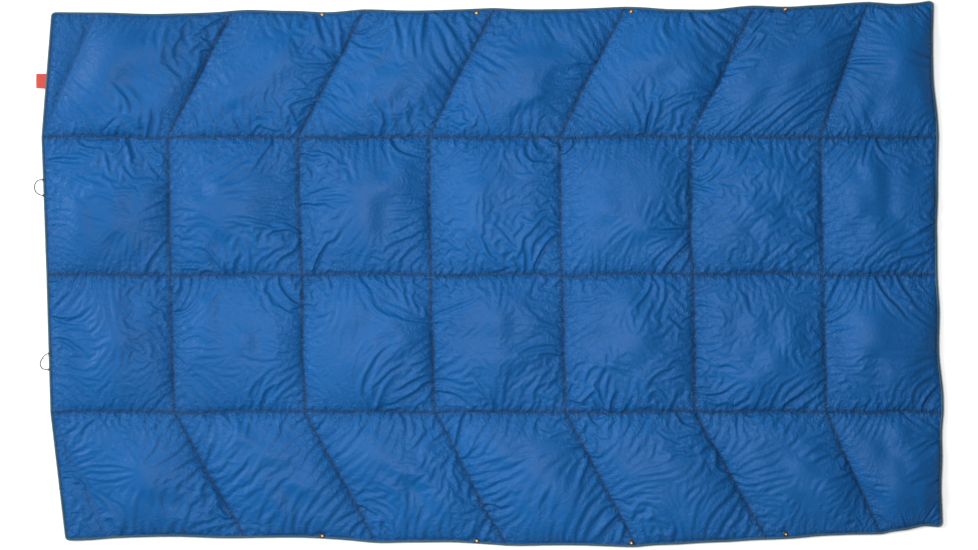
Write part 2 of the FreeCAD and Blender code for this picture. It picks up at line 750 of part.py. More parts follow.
def rounded_path(points):
    """Straight runs joined by arcs, each as large as its two runs allow."""
    share = 0.45
    edges, start, radii = [], points[0], []
    for before, point, after in zip(points[:-2], points[1:-1], points[2:]):
        back, ahead = before - point, after - point
        cut = share * min(back.Length, ahead.Length)
        half_turn = (math.pi - back.getAngle(ahead)) / 2
        radii.append(cut / math.tan(half_turn))
        back.normalize()
        ahead.normalize()
        first, last = point + back * cut, point + ahead * cut
        bisector = (back + ahead).normalize()
        middle = point + bisector * (radii[-1] / math.cos(half_turn) - radii[-1])
        edges.append(Part.LineSegment(start, first).toShape())
        edges.append(Part.Arc(first, middle, last).toShape())
        start = last
    edges.append(Part.LineSegment(start, points[-1]).toShape())
    return Part.Wire(edges), radii


def make_loop(half, shape):
    side = 1 if half == "far" else -1
    name = f"cord_loop_{half}"
    wire, radii = rounded_path(loop_route(DIM["loop_offset"] * side, shape))
    path = document.addObject("Part::Feature", f"{name}_path")
    path.Shape = wire
    start, along = wire.Vertexes[0].Point, wire.Edges[0].tangentAt(wire.Edges[0].FirstParameter)
    ring = document.addObject("Part::Circle", f"{name}_section")
    bind(ring, "Radius", DIM["cord_diameter"] / 2)
    ring.Placement = FreeCAD.Placement(start, FreeCAD.Rotation(FreeCAD.Vector(0, 0, 1), along))
    tube = document.addObject("Part::Sweep", name)
    tube.Sections = [ring]
    tube.Spine = (path, [f"Edge{i + 1}" for i in range(len(wire.Edges))])
    tube.Solid = True
    tube.Transition = "Right corner"
    document.recompute()
    nodes[name] = tube
    section = math.pi * (DIM["cord_diameter"].value / 2) ** 2
    share = tube.Shape.Volume / (section * wire.Length)
    print(f"{name}: length {wire.Length:.1f}, radii {[round(r, 1) for r in radii]}, volume {share:.3f}")
    ends = [[round(c, 3) for c in wire.Vertexes[i].Point] for i in (0, -1)]
    print(f"{name}: ends {ends}")
    make_bartacks(half, side)


def make_bartacks(half, side):
    """A bartack across the binding at each end of a loop."""
    boxes = []
    for i, where in enumerate((0.5, -0.5)):
        end = left_hem(DIM["loop_offset"] * side + DIM["loop_span"] * where)
        box = document.addObject("Part::Box", f"bartack_{half}_{i}")
        for prop, value in (("Length", DIM["binding_width"] - DIM["binding_ply"] * 2),
                            ("Width", DIM["bartack_length"]), ("Height", DIM["thread_height"])):
            bind(box, prop, value)
        place = (end[0] + DIM["binding_ply"], end[1] - DIM["bartack_length"] / 2)
        raised = DIM["fabric"] + DIM["binding_ply"] + DIM["thread_height"]
        put(box, place, DIM["seam_height"] + raised)
        boxes.append(box)
    nodes[f"loop_bartacks_{half}"] = combine("Compound", f"loop_bartacks_{half}", Links=boxes)


# ---- the whole quilt ----


def make_quilt():
    for half in OUTER:
        make_half(half)
        make_threads(half)
    fold_y = -fold_thread_inset()
    ends = [on_hem(AT["L2"], AT["L3"], fold_y), on_hem(AT["R2"], AT["R3"], fold_y)]
    at_hem = DIM["binding_width"] + DIM["thread_gap"]
    stitch("fold_seam_thread", [(*ends, at_hem, at_hem)], size(0))
    make_snaps()
    make_tab()
    make_loop("far", ROUND_LOOP)
    make_loop("near", DROP_LOOP)


def check_and_write():
    """Stops if anything failed; then writes each sub-part to its own file."""
    document.recompute()
    for thing in document.Objects:
        if "Invalid" in thing.State or "Error" in thing.State:
            raise ValueError(f"{thing.Name} is {thing.State}")
    os.makedirs("parts", exist_ok=True)
    for node, thing in sorted(nodes.items()):
        thing.Label = node
        shape = thing.Shape
        if shape.isNull() or not shape.isValid() or not shape.Solids:
            raise ValueError(f"{node} has no valid solid")
        shape.exportStep(f"parts/{node}.step")
    volume = sum(thing.Shape.Volume for thing in nodes.values()) / 1e6
    print(f"{len(nodes)} sub-parts, {volume:.1f} litres")


make_quilt()
check_and_write()
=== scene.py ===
"""Camp quilt, lying flat with its face up: two cloth panels quilted into chambers, a bound hem,
press studs along the long hems, and two cord loops and a cloth tab on the left hem.

Lengths are in millimetres until a mesh is made, and in metres from there on.
"""

import logging
import math
from dataclasses import dataclass, field
from enum import Enum

import bmesh
import bpy
import numpy as np
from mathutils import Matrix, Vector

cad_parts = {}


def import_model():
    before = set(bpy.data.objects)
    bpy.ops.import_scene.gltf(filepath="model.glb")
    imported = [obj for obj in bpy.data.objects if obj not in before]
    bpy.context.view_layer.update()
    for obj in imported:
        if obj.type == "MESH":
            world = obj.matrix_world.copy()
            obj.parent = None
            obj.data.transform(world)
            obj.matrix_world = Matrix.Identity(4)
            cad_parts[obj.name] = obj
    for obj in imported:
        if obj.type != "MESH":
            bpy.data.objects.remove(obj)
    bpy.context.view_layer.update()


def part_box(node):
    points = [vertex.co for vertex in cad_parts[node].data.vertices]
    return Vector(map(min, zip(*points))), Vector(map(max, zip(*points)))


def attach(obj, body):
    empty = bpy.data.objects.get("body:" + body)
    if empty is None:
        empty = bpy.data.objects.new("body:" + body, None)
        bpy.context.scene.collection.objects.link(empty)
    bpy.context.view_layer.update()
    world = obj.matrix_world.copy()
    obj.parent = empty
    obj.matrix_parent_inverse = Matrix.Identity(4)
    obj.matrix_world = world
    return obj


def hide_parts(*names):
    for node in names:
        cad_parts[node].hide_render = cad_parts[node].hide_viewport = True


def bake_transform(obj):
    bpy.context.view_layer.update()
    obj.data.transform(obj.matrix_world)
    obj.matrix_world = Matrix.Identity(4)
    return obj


LOG = logging.getLogger("camp_quilt")
MM = 0.001
ROWS, COLUMNS = 4, 7
ROW_PITCH, COLUMN_PITCH = 310, 294


class Half(Enum):
    """The two halves that fold onto each other; the value is the sign of their Y."""

    NEAR = -1
    FAR = 1

    @property
    def word(self) -> str:
        """The half's name, as the CAD nodes spell it."""
        return self.name.lower()

    @property
    def body(self) -> str:
        """The CAD body of this half."""
        return f"{self.word}_half"


class Layer(Enum):
    """A cloth panel: the value is the side of the seam plane that it puffs towards."""

    LINING = -1
    FACE = 1


# ---------------------------------------------------------------- surfaces


def grid_faces(rows: int, columns: int, wrap_rows: bool = False, wrap_columns: bool = False) -> np.ndarray:
    """Corner numbers of the quads of a grid stored row by row.

    Each quad joins (i, j), (i, j+1), (i+1, j+1) and (i+1, j).

    Args:
        rows: number of points along the first axis.
        columns: number of points along the second axis.
        wrap_rows: join the last row to the first.
        wrap_columns: join the last column to the first.

    Returns:
        An array of four corner numbers for each quad.
    """
    i = np.arange(rows if wrap_rows else rows - 1)[:, None]
    j = np.arange(columns if wrap_columns else columns - 1)[None, :]
    up, right = (i + 1) % rows, (j + 1) % columns
    corners = (i * columns + j, i * columns + right, up * columns + right, up * columns + j)
    return np.stack(np.broadcast_arrays(*corners), axis=-1).reshape(-1, 4)


def make_object(
    name: str,
    points: np.ndarray,
    faces: np.ndarray,
    uv: np.ndarray | None = None,
    values: dict[str, np.ndarray] | None = None,
) -> bpy.types.Object:
    """A smooth mesh object from whole arrays.

    Args:
        name: the object's name.
        points: N by 3, in millimetres.
        faces: M by 4 corner numbers.
        uv: N by 2 surface coordinates in metres, or none.
        values: named numbers, one for each point, for the material.

    Returns:
        The object, at the origin.
    """
    mesh = bpy.data.meshes.new(name)
    mesh.vertices.add(len(points))
    mesh.vertices.foreach_set("co", (points * MM).astype(np.float32).ravel())
    mesh.loops.add(faces.size)
    mesh.loops.foreach_set("vertex_index", faces.astype(np.int32).ravel())
    mesh.polygons.add(len(faces))
    mesh.polygons.foreach_set("loop_start", np.arange(0, faces.size, 4, dtype=np.int32))
    mesh.polygons.foreach_set("use_smooth", np.ones(len(faces), dtype=bool))
    mesh.update(calc_edges=True)
    if uv is not None:
        layer = mesh.uv_layers.new(name="cloth")
        layer.data.foreach_set("uv", uv.astype(np.float32)[faces.ravel()].ravel())
    for key, numbers in (values or {}).items():
        attribute = mesh.attributes.new(key, "FLOAT", "POINT")
        attribute.data.foreach_set("value", numbers.astype(np.float32).ravel())
    thing = bpy.data.objects.new(name, mesh)
    bpy.context.scene.collection.objects.link(thing)
    return thing


def joined(parts: list[tuple[np.ndarray, np.ndarray]]) -> tuple[np.ndarray, np.ndarray]:
    """Several surfaces as one, the later corner numbers moved up.

    Args:
        parts: points and faces of each.

    Returns:
        Points and faces.
    """
    starts = np.cumsum([0] + [len(points) for points, _ in parts[:-1]])
    points = np.concatenate([points for points, _ in parts])
    faces = np.concatenate([faces + start for start, (_, faces) in zip(starts, parts)])
    return points, faces


def lathe(profile: np.ndarray, centre: np.ndarray, segments: int = 40) -> tuple[np.ndarray, np.ndarray]:
    """A surface of revolution: the profile's radius and height turned about an upright axis.

    Args:
        profile: radius and height pairs, listed so that the outside is on their right.
        centre: X, Y and Z that the profile's zero stands at.
        segments: number of steps round the axis.

    Returns:
        Points and quads.
    """
    turn = np.linspace(0, 2 * np.pi, segments, endpoint=False)
    radius, height = np.maximum(profile[:, 0], 0.01), profile[:, 1]
    x = centre[0] + np.cos(turn)[:, None] * radius
    y = centre[1] + np.sin(turn)[:, None] * radius
    z = centre[2] + np.broadcast_to(height, x.shape)
    points = np.stack([x, y, z], axis=-1).reshape(-1, 3)
    return points, grid_faces(segments, len(profile), wrap_rows=True)


def rounded(profile: list[tuple[float, float]], radius: float, steps: int = 4) -> np.ndarray:
    """A profile with each inner corner replaced by a short curve.

    Each corner becomes a quadratic curve from a point before it to a point after it, no further
    from the corner than radius or two fifths of the shorter side beside it.

    Args:
        profile: the corners.
        radius: how far from a corner its curve starts.
        steps: points along each curve, less one.

    Returns:
        The profile's points.
    """
    corner = np.array(profile, float)
    before, middle, after = corner[:-2], corner[1:-1], corner[2:]
    back, ahead = before - middle, after - middle
    back_length = np.linalg.norm(back, axis=1, keepdims=True)
    ahead_length = np.linalg.norm(ahead, axis=1, keepdims=True)
    cut = np.minimum(radius, 0.4 * np.minimum(back_length, ahead_length))
    first, last = middle + back / back_length * cut, middle + ahead / ahead_length * cut
    t = np.linspace(0, 1, steps + 1)[None, :, None]
    curve = first[:, None] * (1 - t) ** 2 + middle[:, None] * 2 * t * (1 - t) + last[:, None] * t**2
    return np.concatenate([corner[:1], curve.reshape(-1, 2), corner[-1:]])


def sweep(path: np.ndarray, profile: np.ndarray, side: np.ndarray, up: np.ndarray) -> np.ndarray:
    """A closed profile carried along a path: point = path + across * side + height * up.

    Args:
        path: N by 3 points.
        profile: M by 2, across and height; or N by M by 2 where it changes along the path.
        side: N by 3 directions that across is measured along.
        up: N by 3 directions that height is measured along.

    Returns:
        N by M by 3 points.
    """
    shape = profile if profile.ndim == 3 else np.broadcast_to(profile, (len(path), *profile.shape))
    return path[:, None] + shape[..., :1] * side[:, None] + shape[..., 1:] * up[:, None]


def hill_noise(rng: np.random.Generator, shape: tuple[int, int], waves: tuple[int, int]) -> np.ndarray:
    """Soft random hills: random heights on a coarse lattice, eased between its points.

    Args:
        rng: source of the random heights.
        shape: rows and columns wanted.
        waves: lattice cells along the rows and the columns.

    Returns:
        An array of that shape, of about unit spread.
    """
    lattice = rng.normal(size=(waves[0] + 2, waves[1] + 2))
    row, column = (np.linspace(0, w, s) for w, s in zip(waves, shape))
    i, j = row.astype(int), column.astype(int)
    a, b = (row - i)[:, None], (column - j)[None, :]
    a, b = a * a * (3 - 2 * a), b * b * (3 - 2 * b)
    low = lattice[np.ix_(i, j)] * (1 - b) + lattice[np.ix_(i, j + 1)] * b
    high = lattice[np.ix_(i + 1, j)] * (1 - b) + lattice[np.ix_(i + 1, j + 1)] * b
    return low * (1 - a) + high * a


# ---------------------------------------------------------------- the quilt's plan


@dataclass(frozen=True)
class Plan:
    """Where hems, seams and press studs lie, with the quilt's middle at X = Y = 0.

    The in-set lists say how far each seam end lies inside the overall size; rows run from the near
    hem to the far hem, and columns from the left hem to the right.
    """

    length: float = 2030
    width: float = 1230
    first_column: float = 290
    column_pitch: float = COLUMN_PITCH
    inner_row: float = ROW_PITCH
    slant_run: float = 155
    last_slant_run: float = 115
    corner_run: float = 140
    skew: float = 7
    shift: float = 6
    left_in: tuple[float, ...] = (54, 20, 11, 0, 22)
    right_in: tuple[float, ...] = (0, 0, 9, 12, 21)
    near_in: tuple[float, ...] = (16, 22, 12, 3, 0, 18, 30, 50)
    far_in: tuple[float, ...] = (24, 20, 18, 15, 12, 8, 2, 0)
    near_corner_in: float = 19
    far_corner_in: float = 20
    seam_height: float = 6
    fabric: float = 0.5
    calm_left: float = 0.3
    snap_first: float = 632
    snap_pitch: float = 348
    snap_inset: float = 10.5
    snaps: int = 4
    corner_radius: float = 10
    scallop: float = 4.0
    waviness: float = 1.8

    def seam_points(self) -> np.ndarray:
        """Where every row line meets every column line.

        An outer row's columns lean along X by slant_run, and each row line is slipped by skew.

        Returns:
            5 by 8 by 2.
        """
        y = self.inner_row * np.arange(-2, 3)
        feet = self.first_column + self.column_pitch * np.arange(6) - self.length / 2
        lean = np.array([self.slant_run] * 5 + [self.last_slant_run])
        points = np.zeros((5, 8, 2))
        outer = np.array([1, 0, 0, 0, 1])[:, None]
        points[:, 1:7, 0] = feet + lean * outer + self.shift - self.skew * y[:, None] / self.inner_row
        points[:, 0, 0] = np.array(self.left_in) - self.length / 2 + self.shift
        points[:, 7, 0] = self.length / 2 - np.array(self.right_in) + self.shift
        points[..., 1] = y[:, None]
        points[0, :, 1] = np.array(self.near_in) - self.width / 2
        points[4, :, 1] = self.width / 2 - np.array(self.far_in)
        return points

    def corner_tip(self, half: Half) -> np.ndarray:
        """The long-hem end of the seam that cuts off a half's left corner.

        Args:
            half: which half.

        Returns:
            X and Y.
        """
        y = half.value * 2 * self.inner_row
        inset = self.near_corner_in if half is Half.NEAR else self.far_corner_in
        x = self.corner_run - self.length / 2 + self.shift - self.skew * y / self.inner_row
        return np.array([x, half.value * (self.width / 2 - inset)])

    def cloth(self, across: int, up: int, seed: int = 3) -> np.ndarray:
        """The panel laid out flat, with a whole number of mesh squares in each chamber.

        Each chamber is a bilinear patch of its four corners. The hem is drawn in between seam ends
        by scallop, and soft noise moves everything by about waviness. The noise fades in over the first
        calm_left of a chamber, so that the left hem, where the tab and loops are sewn, stays straight.

        Args:
            across: mesh squares along X in a chamber.
            up: mesh squares along Y in a chamber.
            seed: chooses the noise.

        Returns:
            Rows by columns by 2.
        """
        corner = self.seam_points()
        u, v = np.arange(COLUMNS * across + 1) / across, np.arange(ROWS * up + 1) / up
        c, r = np.minimum(u.astype(int), COLUMNS - 1), np.minimum(v.astype(int), ROWS - 1)
        s, t = (u - c)[None, :, None], (v - r)[:, None, None]
        low = corner[np.ix_(r, c)] * (1 - s) + corner[np.ix_(r, c + 1)] * s
        high = corner[np.ix_(r + 1, c)] * (1 - s) + corner[np.ix_(r + 1, c + 1)] * s
        flat = low * (1 - t) + high * t
        sag_u, sag_v = np.abs(np.sin(np.pi * u)) ** 1.3, np.abs(np.sin(np.pi * v)) ** 1.3
        near, far = np.clip(1 - v, 0, 1) ** 2, np.clip(v - ROWS + 1, 0, 1) ** 2
        right = np.clip(u - COLUMNS + 1, 0, 1) ** 2
        flat[..., 1] += self.scallop * (near - far)[:, None] * sag_u[None, :]
        flat[..., 0] -= self.scallop * right[None, :] * sag_v[:, None]
        rng = np.random.default_rng(seed)
        calm = np.clip(u / self.calm_left, 0, 1)
        for axis in (0, 1):
            flat[..., axis] += self.waviness * hill_noise(rng, flat.shape[:2], (14, 24)) * calm
        for i, j in ((0, 0), (0, -1), (-1, 0), (-1, -1)):
            self.round_corner(flat, i, j)
        return flat

    def round_corner(self, flat: np.ndarray, i: int, j: int) -> None:
        """Pulls the mesh points outside a circle of corner_radius in to it, at one corner.

        Args:
            flat: the mesh, changed in place.
            i: the corner's row, 0 or -1.
            j: the corner's column, 0 or -1.
        """
        tip = flat[i, j].copy()
        along = flat[i, 12 if j == 0 else -13] - tip
        up = flat[8 if i == 0 else -9, j] - tip
        along, up = along / np.linalg.norm(along), up / np.linalg.norm(up)
        centre = tip + (along + up) * self.corner_radius
        reach = flat - centre
        far = np.linalg.norm(reach, axis=2)
        beyond = (far > self.corner_radius) & (far < 4 * self.corner_radius)
        inside = (reach @ along < 0) & (reach @ up < 0) & beyond
        flat[inside] = centre + reach[inside] * (self.corner_radius / far[inside])[:, None]

    def locate(self, points: np.ndarray, row: int, column: int) -> np.ndarray:
        """Row and column numbers, with fractions, of points in one chamber's patch.

        Newton steps on the bilinear patch: position(s, t) = point.

        Args:
            points: N by 2.
            row: the chamber's row.
            column: the chamber's column.

        Returns:
            N by 2, in chambers from the near left corner.
        """
        corner = self.seam_points()
        a, b = corner[row, column], corner[row, column + 1]
        d, c = corner[row + 1, column], corner[row + 1, column + 1]
        s, t = np.full(len(points), 0.5), np.full(len(points), 0.5)
        for _ in range(12):
            miss = (
                np.outer((1 - s) * (1 - t), a) + np.outer(s * (1 - t), b)
                + np.outer((1 - s) * t, d) + np.outer(s * t, c) - points
            )
            along_s = np.outer(1 - t, b - a) + np.outer(t, c - d)
            along_t = np.outer(1 - s, d - a) + np.outer(s, c - b)
            det = along_s[:, 0] * along_t[:, 1] - along_s[:, 1] * along_t[:, 0]
            s = s - (miss[:, 0] * along_t[:, 1] - miss[:, 1] * along_t[:, 0]) / det
            t = t - (along_s[:, 0] * miss[:, 1] - along_s[:, 1] * miss[:, 0]) / det
        return np.stack([row + t, column + s], axis=1)

    def corner_seam(self, half: Half, count: int) -> np.ndarray:
        """Points along a corner seam.

        Args:
            half: which half.
            count: how many.

        Returns:
            Row and column numbers, count by 2.
        """
        foot = self.seam_points()[1 if half is Half.NEAR else 3, 0]
        share = np.linspace(0, 1, count)[:, None]
        line = foot * (1 - share) + self.corner_tip(half) * share
        return self.locate(line, 0 if half is Half.NEAR else 3, 0)

    def snap_centres(self, half: Half) -> np.ndarray:
        """Centres of a half's press studs, in from the long hem.

        Args:
            half: which half.

        Returns:
            One X and Y for each press stud.
        """
        x = self.snap_first + self.snap_pitch * np.arange(self.snaps) - self.length / 2 + self.shift
        hem = self.seam_points()[0 if half is Half.NEAR else 4]
        y = np.interp(x, hem[:, 0], hem[:, 1]) - half.value * self.snap_inset
        return np.stack([x, y], axis=1)


# ---------------------------------------------------------------- cloth simulation


class Weave:
    """A square mesh of threads that keep their lengths, solved by moving its points in turn."""

    diagonal_share: float = 0.7

    def __init__(
        self,
        flat: np.ndarray,
        slack: tuple[np.ndarray, np.ndarray],
        shear: np.ndarray,
        height: np.ndarray,
    ) -> None:
        """Cuts the cloth.

        Each thread is as long as its place in the plan, times one plus the slack there; diagonal
        threads take both slacks and the shear.

        Args:
            flat: rows by columns by 2, where the cloth would lie.
            slack: extra length along the rows and along the columns as shares, at each point.
            shear: how far each square's corner angle leaves the plan's, at each point.
            height: Z to start from.
        """
        self.axes = [axis.astype(np.float32) for axis in (flat[..., 0], flat[..., 1], height)]
        wide, high = 1 + slack[0], 1 + slack[1]
        along = (flat[:, 1:] - flat[:, :-1]) * (wide[:, 1:] + wide[:, :-1])[..., None] / 2
        up = (flat[1:] - flat[:-1]) * (high[1:] + high[:-1])[..., None] / 2
        self.weft, self.warp = (np.linalg.norm(threads, axis=2).astype(np.float32) for threads in (along, up))
        side, rise = (along[1:] + along[:-1]) / 2, (up[:, 1:] + up[:, :-1]) / 2
        lean = 2 * shear[1:, 1:] * np.linalg.norm(side, axis=2) * np.linalg.norm(rise, axis=2)
        squares = (np.sum((rise + sign * side) ** 2, axis=2) for sign in (1, -1))
        self.rising, self.falling = (
            np.sqrt(np.maximum(square + sign * lean, 0.3 * square)).astype(np.float32)
            for square, sign in zip(squares, (1, -1))
        )
        self.weft_pair, self.warp_pair = self.weft[:, 1:] + self.weft[:, :-1], self.warp[1:] + self.warp[:-1]

    def hold(self, a: tuple[slice, slice], b: tuple[slice, slice], length: np.ndarray, share: float) -> None:
        """Moves both ends of each thread by a share of its error, half each.

        Args:
            a: which points the threads start at.
            b: which points they end at.
            length: how long they should be.
            share: how much of the error to take up.
        """
        gap = [axis[b] - axis[a] for axis in self.axes]
        now = np.sqrt(gap[0] * gap[0] + gap[1] * gap[1] + gap[2] * gap[2])
        move = np.float32(share / 2) * (1 - length / now)
        for axis, part in zip(self.axes, gap):
            part *= move
            axis[a] += part
            axis[b] -= part

    def settle(self, stiffness: float) -> None:
        """One pass over every thread, then over pairs of threads in line, which resist bending.

        Args:
            stiffness: share of a pair's error to take up.
        """
        every, low, high = slice(None), slice(None, -1), slice(1, None)
        rows, columns = self.warp.shape[0], self.weft.shape[1]
        for odd in (0, 1):
            here, there = slice(odd, columns, 2), slice(odd + 1, columns + 1, 2)
            self.hold((every, here), (every, there), self.weft[:, odd::2], 1)
            here, there = slice(odd, rows, 2), slice(odd + 1, rows + 1, 2)
            self.hold((here, every), (there, every), self.warp[odd::2], 1)
            self.hold((here, low), (there, high), self.rising[odd::2], self.diagonal_share)
            self.hold((here, high), (there, low), self.falling[odd::2], self.diagonal_share)
        self.hold((every, slice(None, -2)), (every, slice(2, None)), self.weft_pair, stiffness)
        self.hold((slice(None, -2), every), (slice(2, None), every), self.warp_pair, stiffness)

    def normals(self) -> list[np.ndarray]:
        """Unit normals: the cross product of the differences along the two axes.

        Returns:
            Their X, Y and Z, each in the mesh's rows and columns.
        """
        (xv, xu), (yv, yu), (zv, zu) = (np.gradient(axis) for axis in self.axes)
        normal = [yu * zv - zu * yv, zu * xv - xu * zv, xu * yv - yu * xv]
        size = np.sqrt(normal[0] ** 2 + normal[1] ** 2 + normal[2] ** 2) + np.float32(1e-9)
        return [part / size for part in normal]


def doubled(values: np.ndarray) -> np.ndarray:
    """Values on a grid twice as fine: each new point is a cubic through the four beside it.

    Args:
        values: rows by columns.

    Returns:
        2 rows - 1 by 2 columns - 1.
    """

    def stretch(rows: np.ndarray) -> np.ndarray:
        """Doubles the first axis.

        Args:
            rows: the values.

        Returns:
            The values with one more between each two.
        """
        edge = np.concatenate([2 * rows[:1] - rows[1:2], rows, 2 * rows[-1:] - rows[-2:-1]])
        out = np.empty((2 * len(rows) - 1, *rows.shape[1:]), rows.dtype)
        out[::2] = rows
        out[1::2] = (9 * (edge[1:-2] + edge[2:-1]) - edge[:-3] - edge[3:]) / 16
        return out

    return stretch(stretch(values).T).T


@dataclass(frozen=True)
class Drape:
    """How a panel is simulated, from coarse mesh to fine.

    Slack and steps are listed level by level, and each level has twice the mesh squares along a chamber
    that the one before has. The pressure is for reference squares across a chamber.
    """

    layer: Layer
    seam_z: float
    crown: float
    slack: tuple[float, ...]
    steps: tuple[int, ...]
    pressure: float
    limits: tuple[float, float]
    across: int = 22
    up: int = 24
    stiffness: float = 0.10
    uneven: float = 0.14
    twist: float = 0.008
    fullness: float = 0.85
    spring: float = 16.0
    folds: int = 5
    fold_width: float = 6.5
    band: float = 6.5
    stud_hold: float = 8.0
    corner_reach: float = 30.0
    reference: int = 88
    jitter: float = 15.0
    lumps: tuple[tuple[float, tuple[int, int]], ...] = ((1, (13, 23)), (0.7, (29, 50)))
    momentum: tuple[float, float] = (0.9, 0.75)
    calm_after: float = 0.6
    seed: int = 7

    def run(self, plan: Plan) -> tuple[np.ndarray, np.ndarray]:
        """Simulates the panel on every mesh in turn.

        The filling pushes each point along its normal, less and less towards the crown; seams, hem
        bands and the cloth under the press studs stay where they are sewn.

        Args:
            plan: where the seams and hems are.

        Returns:
            The draped panel, rows by columns by 3, and the same panel laid flat, by 2.
        """
        rng = np.random.default_rng(self.seed)
        shear = self.twist * rng.normal(size=(ROWS, COLUMNS)) ** 3 / 2
        loft = 1 + 0.06 * rng.normal(size=(ROWS, COLUMNS))
        steps = self.steps
        axes: list[np.ndarray] = []
        for level, count in enumerate(steps):
            across, up = self.across * 2**level, self.up * 2**level
            flat = plan.cloth(across, up)
            shape = flat.shape[:2]
            spread = np.ix_(np.minimum(np.arange(shape[0]) // up, ROWS - 1),
                            np.minimum(np.arange(shape[1]) // across, COLUMNS - 1))
            clumps = hill_noise(np.random.default_rng(self.seed + 2), shape, (22, 38))
            hills = hill_noise(rng, shape, (9, 16))
            slack = self.slack[level] * (1 + 0.2 * hills + 0.3 * np.abs(clumps) * clumps)
            turns = hill_noise(np.random.default_rng(self.seed + 3), shape, (11, 19))
            twist = shear[spread] + self.twist * turns
            dome, rise = self.dome(plan, flat, across, up), self.crown - self.seam_z
            start = axes[2] if axes else self.seam_z + 0.8 * rise * dome
            wide, high, lean = self.creases(across, up)
            dent = np.minimum(4 * (wide + high), 1.5)
            cloth = Weave(flat, (slack + wide, slack + high), twist + lean, start - dent)
            if axes:
                cloth.axes = [axis.astype(np.float32) for axis in axes]
            sewn = self.sewn(plan, flat, across, up)
            held = [*(flat[..., i][sewn].astype(np.float32) for i in (0, 1)), np.float32(self.seam_z)]
            nudge, waves = self.jitter / across, (shape[0] // 3, shape[1] // 3)
            for axis in cloth.axes:
                axis += np.where(sewn, 0, nudge * hill_noise(rng, shape, waves)).astype(np.float32)
            lumps = sum(share * hill_noise(np.random.default_rng(self.seed + at), shape, waves)
                        for at, (share, waves) in enumerate(self.lumps))
            top = self.seam_z + rise * loft[spread] * dome * (1 + self.uneven * lumps)
            corner = self.corner_lines(plan, across, up)
            self.inflate(cloth, count, sewn, held, top.astype(np.float32), corner, across)
            axes = cloth.axes if level == len(steps) - 1 else [doubled(axis) for axis in cloth.axes]
            LOG.info("%s level %d: %d by %d points", self.layer.name.lower(), level, *shape)
        return np.stack(axes, axis=-1).astype(float), flat

    def creases(self, across: int, up: int) -> np.ndarray:
        """Extra cloth across a few curved lines that start near a seam and run into a chamber.

        Each line bends evenly and fades towards its far end; its cross-section is exp(-(d / width)^2).

        Args:
            across: mesh squares along X in a chamber.
            up: mesh squares along Y in a chamber.

        Returns:
            The extra length along X, along Y, and the change of corner angle, as shares at each point.
        """
        rng = np.random.default_rng(self.seed + 4)
        extra = np.zeros((3, ROWS * up + 1, COLUMNS * across + 1))
        width = max(self.fold_width, 0.8 * COLUMN_PITCH / across)
        y, x = np.meshgrid(
            np.linspace(0, ROW_PITCH, up + 1), np.linspace(0, COLUMN_PITCH, across + 1), indexing="ij")
        for row, column in np.ndindex(ROWS, COLUMNS):
            patch = extra[:, row * up : (row + 1) * up + 1, column * across : (column + 1) * across + 1]
            for _ in range(self.folds):
                side, along = rng.integers(4), rng.uniform(0.08, 0.92)
                heading = side * np.pi / 2 + rng.choice((-1, 1)) * rng.uniform(0.25, 1.0)
                place = np.array([(0, along), (along, 0), (1, along), (along, 1)][side])
                place = place * (COLUMN_PITCH, ROW_PITCH)
                length, bend, depth = rng.uniform(60, 240), rng.normal(0, 0.10), rng.uniform(0.25, 0.8)
                for part in range(6):
                    step = np.array([np.cos(heading), np.sin(heading)]) * length / 6
                    at = np.clip(((x - place[0]) * step[0] + (y - place[1]) * step[1]) / (step @ step), 0, 1)
                    gap = (x - place[0] - at * step[0]) ** 2 + (y - place[1] - at * step[1]) ** 2
                    fade = depth * (1 - (part + at) / 6) ** 0.6 * np.exp(-gap / width**2)
                    share = np.sin(heading) ** 2, np.cos(heading) ** 2, -2 * np.sin(heading) * np.cos(heading)
                    stronger = fade > patch[0] + patch[1]
                    for layer, part_share in zip(patch, share):
                        layer[stronger] = fade[stronger] * part_share
                    place, heading = place + step, heading + bend
        return extra

    def dome(self, plan: Plan, flat: np.ndarray, across: int, up: int) -> np.ndarray:
        """How full each chamber is: (16 u (1 - u) v (1 - v)) to a power, and less beside a corner seam.

        Args:
            plan: where the corner seams are.
            flat: the panel laid flat.
            across: mesh squares along X in a chamber.
            up: mesh squares along Y in a chamber.

        Returns:
            From 0 at a seam to 1, at each point.
        """
        u, v = np.arange(flat.shape[1]) / across % 1, np.arange(flat.shape[0]) / up % 1
        full = (16 * (v * (1 - v))[:, None] * (u * (1 - u))[None, :]) ** self.fullness
        for half in Half:
            foot, tip = plan.seam_points()[1 if half is Half.NEAR else 3, 0], plan.corner_tip(half)
            line = (tip - foot) / np.linalg.norm(tip - foot)
            reach = flat - foot
            away = np.abs(reach[..., 0] * line[1] - reach[..., 1] * line[0])
            beside = (np.arange(flat.shape[0]) // up == (0 if half is Half.NEAR else ROWS - 1))[:, None]
            beside = beside & (np.arange(flat.shape[1]) < across)[None, :]
            full = np.where(beside, full * (1 - np.exp(-away / self.corner_reach)), full)
        return full

    def sewn(self, plan: Plan, flat: np.ndarray, across: int, up: int) -> np.ndarray:
        """Marks the points held by seams, by the hem band and by press studs.

        Args:
            plan: where the press studs are.
            flat: the panel laid flat.
            across: mesh squares along X in a chamber.
            up: mesh squares along Y in a chamber.

        Returns:
            True at each point that is held.
        """
        mark = np.zeros(flat.shape[:2], bool)
        mark[::up] = True
        mark[:, ::across] = True
        rows = max(1, round(self.band / ROW_PITCH * up))
        columns = max(1, round(self.band / COLUMN_PITCH * across))
        mark[: rows + 1] = mark[-rows - 1 :] = True
        mark[:, : columns + 1] = mark[:, -columns - 1 :] = True
        for half in Half:
            for centre in plan.snap_centres(half):
                mark |= np.hypot(*(flat - centre).transpose(2, 0, 1)) < self.stud_hold
        return mark

